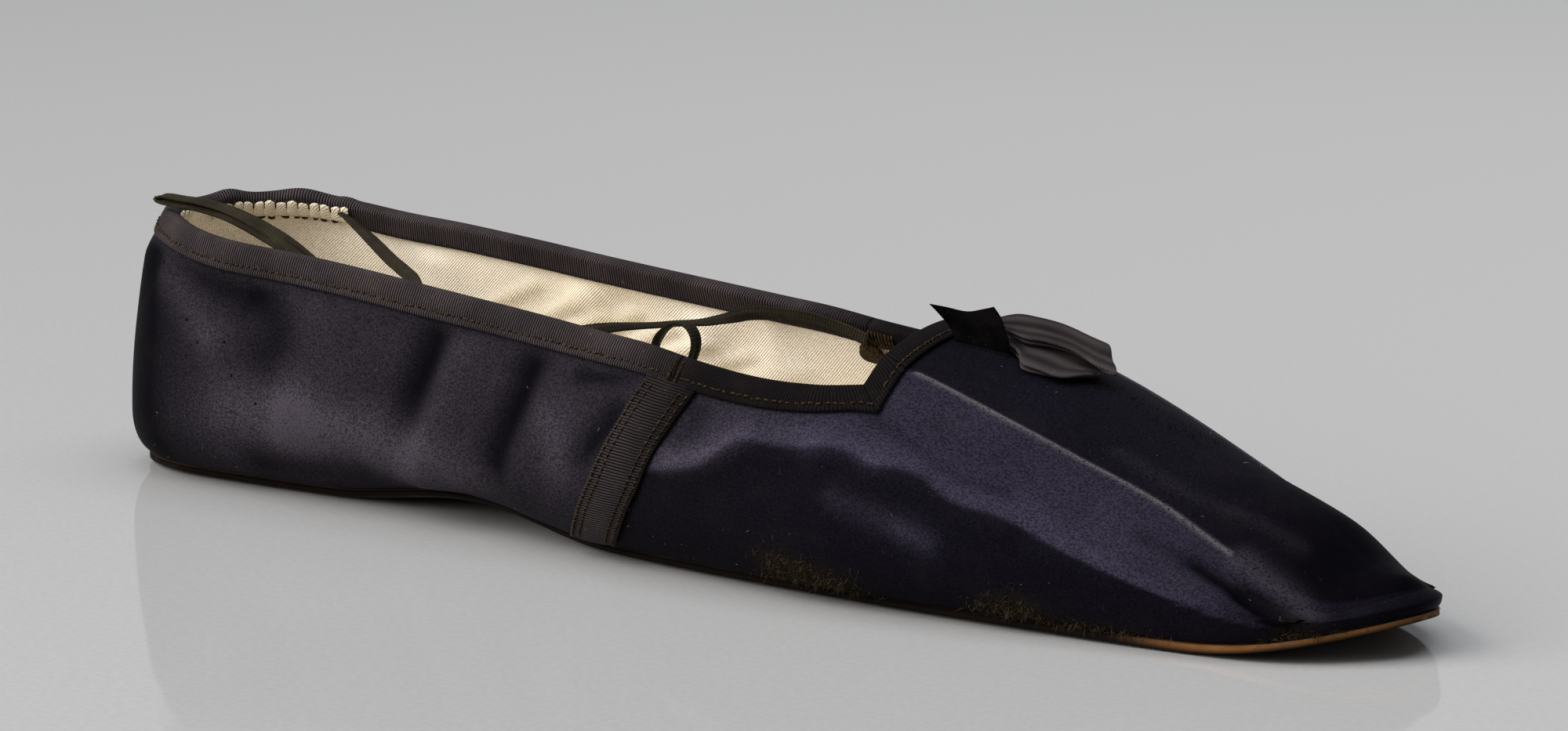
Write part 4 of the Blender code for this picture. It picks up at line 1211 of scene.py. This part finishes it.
def on_tape(across, up, side, height):
    """(points, normals) on a side seam's tape, across from its middle line and a share of the way up it."""
    head = below_edge((SEAM_TOP_X + across) / LENGTH, BINDING_DEPTH - SEAM_LAP)
    share = (SEAM_BOTTOM_X + (SEAM_TOP_X - SEAM_BOTTOM_X) * up + across) / LENGTH
    level = SEAM_FOOT + (head - SEAM_FOOT) * up
    return skin(share, level, side, height), outward(share, level, side)


across = np.linspace(-0.5, 0.5, 13)[:, None] * SEAM_WIDTH
up = np.linspace(0, 1, 44)[None, :]
pressed = SEAM_HEIGHT - SEAM_PRESSED * bell((np.abs(across) - PRESSED_MIDDLE) / PRESSED_WIDTH)
sewing = []
for side, hand in ((NEAR, "right"), (FAR, "left")):
    grid = on_tape(across, up, side, pressed)[0]
    points, faces = joined([(side, grid)])
    cloth = cloth_map(grid.transpose(1, 0, 2)).reshape(up.size, across.size, 2).transpose(1, 0, 2)
    tape = new_piece("seam_ribbon_" + hand, points, faces, grosgrain, cloth=cloth)
    thicken(tape, RIBBON, 0)
    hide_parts("seam_tape_" + hand)
    step = np.arange(*SEAM_SPAN, SEAM_PITCH)
    for row in SEAM_ROWS:
        start, normal = on_tape(row, step, side, SEAM_STITCH_HEIGHT)
        end = on_tape(row, step + SEAM_STITCH, side, SEAM_STITCH_HEIGHT)[0]
        sewing.append(stitches(start, end, normal))
thread_piece("seam_stitches", np.concatenate(sewing), THREAD, 6, brown_thread)


# Bow
# Black silk ribbon tied in a small bow over the throat and long since pressed flat: two loops that fan
# toward the toe and a tail with a notched end that curls up over the throat's binding.
BOW_RIBBON = 0.35
BOW_LEVELS = (1.2, 3.0)
TAIL_NOTCH = 6.0
FRONT_RIPPLE = 0.10
BACK_RIPPLE = 0.20
RIPPLE_TURNS = 3
PLEAT_TURNS = 5
PLEAT_SHADE = 0.35
BOW_STEPS = 10
BOW_ROWS = 15

# How far the front loop, the back loop and the tail are faded and painted paler in the light; the tail
# stays black, as painted shade
BOW_FADE_AND_LIGHT = (1.0, 1.0, 0.0)

# Ribs of the bow's ribbon, each from its near edge to its far edge: x, sideways y and height over the vamp
Rib = namedtuple("Rib", "near_x near_y near_high far_x far_y far_high")
FRONT_LOOP = (
    Rib(171.8, -2.2, 0.5, 168.8, 2.4, 0.5),
    Rib(174.9, -3.3, 0.5, 170.6, 3.8, 0.5),
    Rib(177.4, -5.6, 0.5, 173.0, 5.0, 0.5),
    Rib(180.4, -4.7, 0.5, 176.6, 6.4, 0.5),
    Rib(183.0, -2.4, 0.5, 180.4, 6.6, 0.5),
    Rib(184.9, 1.4, 0.7, 182.8, 6.0, 0.7),
    Rib(185.4, 0.9, 1.2, 183.2, 5.8, 1.2),
    Rib(183.8, -3.9, 1.2, 180.4, 5.8, 1.6),
    Rib(180.1, -5.1, 1.2, 176.2, 5.4, 1.8),
    Rib(177.2, -5.6, 1.2, 172.8, 4.2, 1.8),
    Rib(174.9, -3.5, 1.2, 170.6, 3.0, 1.8),
    Rib(171.8, -2.4, 1.2, 168.8, 2.2, 1.6),
)
BACK_LOOP = (
    Rib(170.8, -1.6, 2.3, 167.6, 0.2, 2.7),
    Rib(174.6, -1.5, 2.2, 170.2, 3.6, 3.2),
    Rib(177.4, 1.2, 2.2, 173.6, 6.4, 3.4),
    Rib(181.0, 2.6, 2.2, 177.4, 7.6, 3.6),
    Rib(186.6, 1.6, 2.3, 180.0, 7.8, 3.9),
    Rib(188.4, 2.0, 2.6, 181.6, 7.0, 4.3),
    Rib(185.2, 1.0, 2.75, 180.0, 5.4, 4.6),
    Rib(180.6, 1.8, 2.75, 175.6, 4.6, 4.7),
    Rib(177.0, 0.6, 2.75, 172.4, 2.4, 4.7),
    Rib(174.4, -1.6, 2.75, 170.2, 0.8, 4.5),
    Rib(170.8, -2.0, 2.75, 168.2, -1.0, 3.5),
)
TAIL = (
    Rib(165.7, -6.8, 0.5, 173.8, -3.7, 0.6),
    Rib(163.9, -6.3, 2.2, 172.9, -3.8, 2.6),
    Rib(162.6, -7.1, 3.9, 170.7, -3.2, 4.8),
    Rib(161.1, -7.6, 5.2, 169.1, -3.4, 6.2),
)

bow_silk, tree, shader = new_material("bow_silk", {"Specular IOR Level": 0.03})
fade = noise(tree, 130.0, 4.0)
weave = node(tree, "Group", {"Pitch": 0.45}, node_tree=plain_weave).outputs["Height"]
# The loops' dusty grey is dust and painted light; the black tail is painted shade
black = mix(tree, spread(tree, fade, 0.35, 0.7), (0.0010, 0.0008, 0.0009, 1), (0.0022, 0.0018, 0.0019, 1))
dusty_and_lit = mix(tree, spread(tree, fade, 0.35, 0.7), (0.034, 0.028, 0.029, 1), (0.060, 0.050, 0.051, 1))
faded = mix(tree, mask(tree, "faded"), black, dusty_and_lit)
lint = {"Cloth": faded, "Lint": (0.12, 0.10, 0.09, 1), "Amount": 0.15}
tree.links.new(node(tree, "Group", lint, node_tree=cloth_dust).outputs["Color"], shader.inputs["Base Color"])
tree.links.new(spread(tree, fade, 0.3, 0.7, 0.4, 0.55), shader.inputs["Roughness"])
bump(tree, shader, weave, 0.06)


def over_vamp(x, y, height):
    """Points at heights over the vamp, out along its normals."""
    share = x / LENGTH
    level = level_where(share, *BOW_LEVELS, lambda at: np.abs(wall(share, at, NEAR)[..., 1]) > np.abs(y))
    points = wall(share, level, NEAR) + height[..., None] * outward(share, level, NEAR)
    points[..., 1] *= np.where(y > 0, -1, 1)
    return points


def smooth_route(route, steps):
    """Values on a smooth curve through a route's rows."""
    stops = np.array(route)
    ends = np.vstack([2 * stops[0] - stops[1], stops, 2 * stops[-1] - stops[-2]])
    out = []
    for k in range(len(stops) - 1):
        a, b, c, d = ends[k : k + 4]
        for t in np.linspace(0, 1, steps, endpoint=False):
            bend = (2 * a - 5 * b + 4 * c - d) * t * t + (3 * b - a - 3 * c + d) * t**3
            out.append(0.5 * (2 * b + (c - a) * t + bend))
    return np.array(out + [stops[-1]])


def ribbon_grid(ribs, notch=0.0, ripple=0.0):
    """Points of a ribbon along its ribs, with a notch in its end and ripples along it."""
    line = smooth_route(ribs, BOW_STEPS)
    number = np.arange(len(line))
    across = np.linspace(0, 1, BOW_ROWS)[None, :]
    stop = number[:, None]
    stop = stop - notch * np.sin(math.pi * across) * (stop / len(line)) ** 2
    edges = [np.interp(stop, number, values) for values in line.T]
    x, y, high = [near + (far - near) * across for near, far in zip(edges[:3], edges[3:])]
    high = high + ripple * np.sin(RIPPLE_TURNS * math.pi * across) * np.sin(math.pi * stop / len(line))
    return over_vamp(x, y, high)


bow = [
    ribbon_grid(FRONT_LOOP, ripple=FRONT_RIPPLE),
    ribbon_grid(BACK_LOOP, ripple=BACK_RIPPLE),
    ribbon_grid(TAIL, TAIL_NOTCH, BACK_RIPPLE),
]
# Painted sheen and shade across the loops, in lines along the ribbon like pleats
pleats = 1 - PLEAT_SHADE + PLEAT_SHADE * np.cos(PLEAT_TURNS * math.pi * np.linspace(0, 1, BOW_ROWS))
bow_ribbon = sewn_ribbon(
    "bow_ribbon",
    [(NEAR, grid) for grid in bow],
    bow_silk,
    BOW_RIBBON,
    ("bow_front_loop", "bow_back_loop", "bow_tail"),
    "bow_silk",
    faded=np.concatenate([faded * np.tile(pleats, len(grid)) for faded, grid in zip(BOW_FADE_AND_LIGHT, bow)]),
)


# Tie tapes
# Narrow olive-black silk tape. The left one is sewn down in a wad under the far binding and laid across the
# shoe to the heel, where its other end is caught down. The right one stands up in a loop and runs back
# loose to the heel, where it is folded back on itself.
TAPE_WIDTH = 2.2
TAPE_THICK = 0.4
TAPE_DRAWN = 0.92
TAPE_CUP = 0.12
TAPE_STEPS = 8
TAPE_ROWS = 9
STEEP = 0.9
LEFT_TIE_LENGTH = 0.147
RIGHT_TIE_LENGTH = 0.183

# Routes of the tapes: shoe x, sideways y, height and the width's turn from upright, in degrees
Route = namedtuple("Route", "x y z turn")
LEFT_TIE = (
    Route(128.4, 19.9, 28.8, -15.0),
    Route(125.4, 19.7, 29.7, -15.0),
    Route(122.2, 19.5, 30.4, -15.0),
    Route(118.7, 19.3, 31.0, -15.0),
    Route(115.6, 19.1, 31.2, -15.0),
    Route(112.4, 18.9, 31.2, -8.0),
    Route(109.4, 18.5, 31.1, 5.0),
    Route(107.2, 17.4, 31.0, 25.0),
    Route(106.1, 15.4, 30.7, 45.0),
    Route(105.8, 12.5, 30.6, 65.0),
    Route(105.8, 8.0, 30.7, 75.0),
    Route(105.6, 3.0, 31.2, 80.0),
    Route(105.6, -2.0, 31.6, 80.0),
    Route(105.5, -7.0, 32.1, 75.0),
    Route(105.0, -11.0, 32.4, 65.0),
    Route(104.2, -14.4, 32.4, 50.0),
    Route(102.4, -16.6, 31.9, 28.0),
    Route(99.0, -17.6, 30.8, 8.0),
    Route(94.0, -17.6, 29.7, 0.0),
    Route(88.0, -17.3, 29.0, 0.0),
    Route(82.0, -16.9, 28.9, 5.0),
    Route(76.0, -15.9, 29.4, 15.0),
    Route(70.0, -13.4, 30.6, 30.0),
    Route(63.0, -8.6, 32.2, 45.0),
    Route(56.0, -2.8, 33.4, 52.0),
    Route(49.5, 2.0, 33.6, 55.0),
    Route(42.1, 6.8, 34.1, 60.0),
    Route(35.3, 10.8, 35.2, 75.0),
    Route(30.2, 13.5, 36.2, 90.0),
    Route(26.1, 14.9, 37.5, 100.0),
    Route(23.6, 15.1, 38.5, 105.0),
)
RIGHT_TIE = (
    Route(118.0, -17.9, 28.0, 90.0),
    Route(118.3, -17.7, 30.4, 90.0),
    Route(118.9, -17.5, 32.2, 90.0),
    Route(120.0, -17.5, 33.9, 90.0),
    Route(121.8, -17.5, 35.2, 90.0),
    Route(123.5, -17.5, 35.8, 90.0),
    Route(125.2, -17.5, 35.5, 90.0),
    Route(126.3, -17.5, 34.3, 90.0),
    Route(126.5, -17.5, 32.6, 90.0),
    Route(125.8, -17.6, 30.6, 90.0),
    Route(124.6, -17.7, 28.4, 88.0),
    Route(122.8, -17.7, 26.2, 80.0),
    Route(120.2, -17.9, 24.4, 62.0),
    Route(116.6, -18.3, 23.2, 35.0),
    Route(112.0, -18.6, 22.6, 10.0),
    Route(98.0, -18.3, 23.0, 0.0),
    Route(81.0, -17.8, 24.0, 0.0),
    Route(71.0, -17.5, 26.4, 0.0),
    Route(61.0, -17.0, 30.0, 5.0),
    Route(54.0, -16.5, 33.0, 10.0),
    Route(48.0, -16.1, 35.4, 18.0),
    Route(40.0, -15.2, 38.5, 36.0),
    Route(36.0, -14.7, 39.7, 48.0),
    Route(31.8, -14.3, 40.8, 60.0),
    Route(26.0, -13.7, 41.9, 70.0),
    Route(20.0, -13.3, 42.4, 76.0),
    Route(15.5, -13.2, 42.5, 80.0),
    Route(12.0, -13.1, 42.6, 84.0),
    Route(10.9, -13.0, 43.0, 90.0),
    Route(12.1, -12.9, 43.4, 96.0),
    Route(15.7, -13.0, 43.3, 100.0),
    Route(20.2, -13.1, 43.2, 104.0),
    Route(26.2, -13.4, 42.65, 110.0),
    Route(32.0, -13.9, 41.5, 120.0),
    Route(36.3, -14.2, 40.3, 132.0),
    Route(40.4, -14.5, 39.0, 144.0),
    Route(44.4, -14.8, 37.4, 154.0),
    Route(48.4, -15.3, 35.7, 162.0),
    Route(53.0, -15.7, 33.7, 168.0),
)

tape_silk, tree, shader = new_material("tape_silk", {"Specular IOR Level": 0.12})
ribbed = node(tree, "Group", {"Pitch": 0.5}, node_tree=ribbed_weave)
fade = noise(tree, 150.0, 3.0)
olive = mix(tree, spread(tree, fade, 0.35, 0.7), (0.013, 0.0108, 0.0065, 1), (0.030, 0.0245, 0.015, 1))
# Painted shade darkens the grooves between the ribs
groove_shaded = mix(tree, ribbed.outputs["Groove Shade"], olive, (0.010, 0.008, 0.005, 1))
lint = {"Cloth": groove_shaded, "Lint": (0.12, 0.095, 0.065, 1), "Amount": 0.2}
tree.links.new(node(tree, "Group", lint, node_tree=cloth_dust).outputs["Color"], shader.inputs["Base Color"])
tree.links.new(spread(tree, fade, 0.3, 0.7, 0.5, 0.65), shader.inputs["Roughness"])
bump(tree, shader, ribbed.outputs["Height"], 0.12)


def tape_grid(route):
    """(points of a tape drawn into lengthwise folds, points of its middle line) along its route."""
    line = smooth_route(route, TAPE_STEPS)
    middle, turn = line[:, :3], np.radians(line[:, 3:])
    ahead = unit(np.gradient(middle, axis=0))
    flat = np.where(np.abs(ahead[:, 2:]) < STEEP, np.cross(ahead, (0, 0, 1)), (0.0, 1.0, 0.0))
    flat = unit(flat - ahead * np.sum(flat * ahead, axis=1, keepdims=True))
    flips = np.sign(np.sum(flat[1:] * flat[:-1], axis=1, keepdims=True))
    flat[1:] *= np.cumprod(flips, axis=0)
    upright = np.cross(flat, ahead)
    across = upright * np.cos(turn) + flat * np.sin(turn)
    reach = np.linspace(-0.5, 0.5, TAPE_ROWS)[None, :, None] * TAPE_WIDTH * TAPE_DRAWN
    cupped = TAPE_CUP * np.cos(3 * math.pi * reach / TAPE_WIDTH)
    return middle[:, None] + reach * across[:, None] + cupped * np.cross(across, ahead)[:, None], middle


for hand, route, length, far_end in (
    ("left", LEFT_TIE, LEFT_TIE_LENGTH, "object"),
    ("right", RIGHT_TIE, RIGHT_TIE_LENGTH, "bare"),
):
    grid, middle = tape_grid(route)
    stands_for = "tie_tape_" + hand
    tape = sewn_ribbon(stands_for + "_silk", [(NEAR, grid)], tape_silk, TAPE_THICK, [stands_for], "tape_silk")


# Tie anchor
# The left tape's end, crumpled into a small brown wad against the lining under the far binding. Stitches
# over the binding's inner leaf hold it.
ANCHOR_X = 126.5
ANCHOR_SIZE = 4.0
ANCHOR_THICK = 1.4
ANCHOR_DEPTH = INNER_DEPTH - 0.4
ANCHOR_HEIGHT = -WALL - 0.3
ANCHOR_THREAD = 0.2
CAUGHT_SPAN = (0.6, 5.0)
CAUGHT_COUNT = 8
CAUGHT_DEPTHS = (-0.1, INNER_DEPTH)
CAUGHT_HEIGHT = INNER_HEIGHT - 0.3

around = np.linspace(0, 2 * math.pi, 37)[:, None]
over = np.linspace(0, math.pi, 19)[None, :]
lump = 1 + 0.10 * np.sin(3 * around + 1.0) * np.sin(over) + 0.07 * np.sin(5 * around - 2 * over)
across = 0.6 * ANCHOR_SIZE * lump * np.sin(over) * np.cos(around)
down = 0.5 * ANCHOR_SIZE * (1 - lump * np.cos(over))
inward = 0.5 * ANCHOR_THICK * (1 + lump * np.sin(over) * np.sin(around))
place = (ANCHOR_X + across) / LENGTH
grid = under_topline(place, ANCHOR_DEPTH + down, FAR, ANCHOR_HEIGHT - inward)
points, faces = joined([(NEAR, grid)])
anchor = new_piece("left_tie_wad", points, faces, brown_thread, cloth=cloth_map(grid))
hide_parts("left_tie_anchor")

caught = (ANCHOR_X + np.linspace(*CAUGHT_SPAN, CAUGHT_COUNT)) / LENGTH
ends = [under_topline(caught, depth, FAR, CAUGHT_HEIGHT) for depth in CAUGHT_DEPTHS]
paths = stitches(*ends, -outward(caught, edge_level(caught), FAR))
thread_piece("anchor_stitches", paths, ANCHOR_THREAD, 6, brown_thread)


# Worn threads and lint
# Broken brown threads stand up where the satin is worn through, and a short dark nap on the far side of the
# crest. Pins have pricked the heel, and pale lint has settled over the whole upper.
FRAY_COUNT = 1500
FRAY_SPREAD = 0.62
FRAY_LEVELS = (0.02, 1.2)
FRAY_END = 0.985
FRAY_LENGTHS = (0.5, 1.6)
FRAY_LEAN = 1.1
FRAY_RADII = (0.06, 0.05, 0.04, 0.02)
LEVEL_HEIGHT = 10.0
ROOT_HEIGHT = -0.05
NAP_COUNT = 140
NAP_SPAN = (186.0, 206.0)
NAP_LEVELS = (2.6, 3.0)
NAP_LENGTHS = (0.3, 0.8)
NAP_LEAN = 0.8
NAP_RADII = (0.04, 0.035, 0.03, 0.02)
LINT_COUNT = 70
LINT_SPAN = (0.02, 0.97)
LINT_TOP = 2.9
LINT_HEIGHT = 0.06
LINT_LENGTHS = (0.2, 0.7)
LINT_STANDS = 0.15
LINT_LEAN = 0.5
LINT_RADII = (0.03, 0.035, 0.03, 0.02)
PINHOLE = 0.26
PINHOLE_HEIGHTS = (-0.2, 0.03)
PINHOLES = ((15.6, 1.54), (25.5, 1.35), (28.8, 1.27), (34.3, 1.28), (36.5, 1.15), (42.0, 1.04))


def loose_threads(root, normal, length, lean):
    """Paths of thin threads that stand on a surface and bend over."""
    drift = rng.normal(size=(2, *root.shape))
    tip = unit(normal + lean * drift[0]) * length[:, None]
    bend = 0.35 * length[:, None] * unit(drift[1])
    t = np.linspace(0, 1, 4)[:, None]
    return root[:, None] + tip[:, None] * t + bend[:, None] * t * t


frayed_thread, tree, shader = new_material("frayed_thread", {"Roughness": 0.8, "Specular IOR Level": 0.1})
shade = spread(tree, noise(tree, 800.0, 1.0), 0.35, 0.65)
brown = mix(tree, shade, (0.016, 0.012, 0.007, 1), (0.060, 0.044, 0.024, 1))
tree.links.new(brown, shader.inputs["Base Color"])

strength = np.array([spot.strength * spot.along for spot in WORN])
spots = [WORN[k] for k in rng.choice(len(WORN), FRAY_COUNT, p=strength / strength.sum())]
x = np.array([spot.x + FRAY_SPREAD * spot.along * rng.normal() for spot in spots])
rise = np.array([FRAY_SPREAD * spot.up * rng.normal() for spot in spots])
level = np.clip(np.array([spot.level for spot in spots]) + rise / LEVEL_HEIGHT, *FRAY_LEVELS)
side = np.array([spot.side for spot in spots])
paths = []
for hand in (NEAR, FAR):
    place = np.minimum(x[side == hand] / LENGTH, FRAY_END)
    height = level[side == hand]
    root = skin(place, height, hand, ROOT_HEIGHT)
    length = rng.uniform(*FRAY_LENGTHS, len(place))
    paths.append(loose_threads(root, outward(place, height, hand), length, FRAY_LEAN))
thread_piece("frayed_threads", np.concatenate(paths), FRAY_RADII, 3, frayed_thread)

place = rng.uniform(*NAP_SPAN, NAP_COUNT) / LENGTH
height = rng.uniform(*NAP_LEVELS, NAP_COUNT)
root = skin(place, height, FAR, ROOT_HEIGHT)
length = rng.uniform(*NAP_LENGTHS, NAP_COUNT)
paths = loose_threads(root, outward(place, height, FAR), length, NAP_LEAN)
thread_piece("crest_nap", paths, NAP_RADII, 3, bow_silk, woven=True)

lint_fibre, tree, shader = new_material("lint_fibre", {"Roughness": 0.9})
shade = spread(tree, noise(tree, 300.0, 1.0), 0.4, 0.6)
pale = mix(tree, shade, (0.17, 0.15, 0.135, 1), (0.13, 0.09, 0.05, 1))
tree.links.new(pale, shader.inputs["Base Color"])
paths = []
for hand in (NEAR, FAR):
    place = rng.uniform(*LINT_SPAN, LINT_COUNT)
    under_binding = below_edge(np.minimum(place, THROAT), BINDING_DEPTH + 1.5)
    top = np.where(place > THROAT + 0.04, LINT_TOP, under_binding)
    height = rng.uniform(0.2, 1.0, LINT_COUNT) * top
    root = skin(place, height, hand, LINT_HEIGHT)
    length = rng.uniform(*LINT_LENGTHS, LINT_COUNT)
    paths.append(loose_threads(root, LINT_STANDS * outward(place, height, hand), length, LINT_LEAN))
thread_piece("lint", np.concatenate(paths), LINT_RADII, 3, lint_fibre)

# Each pinhole is a short black plug through the satin, as painted shade inside the hole
x, level = np.transpose(PINHOLES)
ends = [skin(x / LENGTH, level, NEAR, height) for height in PINHOLE_HEIGHTS]
thread_piece("pinholes", np.stack(ends, axis=1), PINHOLE, 8, bow_silk, woven=True)


# View
# The shoe stands on a pale, faintly glossy table in soft studio light from the front left and overhead. It
# is seen from its right side and from a little above. The fall of light over the table is painted into its
# colour, darker near and paler far off.
VIEW_AZIMUTH = math.radians(40.0)
VIEW_ELEVATION = math.radians(10.0)
VIEW_DISTANCE = 1.1
VIEW_TARGET = Vector((-0.0943, 0.1204, 0.0))
VIEW_LENS = 145.7
FLOOR_REACH = 3.0

floor_paint_and_falloff, tree, shader = new_material("floor_paint_and_falloff", {"Specular IOR Level": 0.18})
# Painted fall of light: the table is darker near the view and paler further off
away = calculate(tree, "MULTIPLY_ADD", along_axis(tree, "X"), 0.3, along_axis(tree, "Y"))
painted_falloff = mix(tree, spread(tree, away, -0.2, 0.8), (0.31, 0.31, 0.312, 1), (0.53, 0.527, 0.525, 1))
speckle = spread(tree, noise(tree, 900.0, 2.0), 0.4, 0.6, 0.0, 0.1)
tree.links.new(mix(tree, speckle, painted_falloff, (0.46, 0.46, 0.457, 1)), shader.inputs["Base Color"])
tree.links.new(spread(tree, noise(tree, 12.0), 0.3, 0.7, 0.05, 0.07), shader.inputs["Roughness"])
mesh = bpy.data.meshes.new("floor")
corners = FLOOR_REACH * np.array([(-1, -1, 0), (1, -1, 0), (1, 1, 0), (-1, 1, 0)])
mesh.from_pydata(corners.tolist(), [], [(0, 1, 2, 3)])
mesh.materials.append(floor_paint_and_falloff)
floor = bpy.data.objects.new("floor", mesh)
bpy.context.scene.collection.objects.link(floor)

# Soft lights: place and size in metres, and power in watts. They don't mirror in the floor.
Light = namedtuple("Light", "name place size power colour")
LIGHTS = (
    Light("front_left", (-0.75, -1.15, 0.95), 1.6, 54.0, (1.0, 0.97, 0.93)),
    Light("overhead", (0.1, 0.0, 1.6), 1.6, 25.0, (0.97, 0.98, 1.0)),
)
for light in LIGHTS:
    lamp = bpy.data.lights.new(light.name, "AREA")
    lamp.size = light.size
    lamp.energy = light.power
    lamp.color = light.colour
    holder = bpy.data.objects.new(light.name, lamp)
    holder.location = light.place
    holder.visible_glossy = False
    holder.rotation_euler = (-Vector(light.place)).to_track_quat("-Z", "Y").to_euler()
    bpy.context.scene.collection.objects.link(holder)

studio = bpy.data.worlds.new("studio")
studio.use_nodes = True
studio.node_tree.nodes["Background"].inputs["Color"].default_value = (0.78, 0.80, 0.83, 1)
studio.node_tree.nodes["Background"].inputs["Strength"].default_value = 0.35
bpy.context.scene.world = studio
bpy.context.scene.view_settings.view_transform = "Standard"

toward = Vector(
    (
        math.sin(VIEW_AZIMUTH) * math.cos(VIEW_ELEVATION),
        -math.cos(VIEW_AZIMUTH) * math.cos(VIEW_ELEVATION),
        math.sin(VIEW_ELEVATION),
    )
)
camera = bpy.data.objects.new("camera", bpy.data.cameras.new("camera"))
camera.data.lens = VIEW_LENS
camera.location = VIEW_TARGET + VIEW_DISTANCE * toward
camera.rotation_euler = toward.to_track_quat("Z", "Y").to_euler()
bpy.context.scene.collection.objects.link(camera)
bpy.context.scene.camera = camera
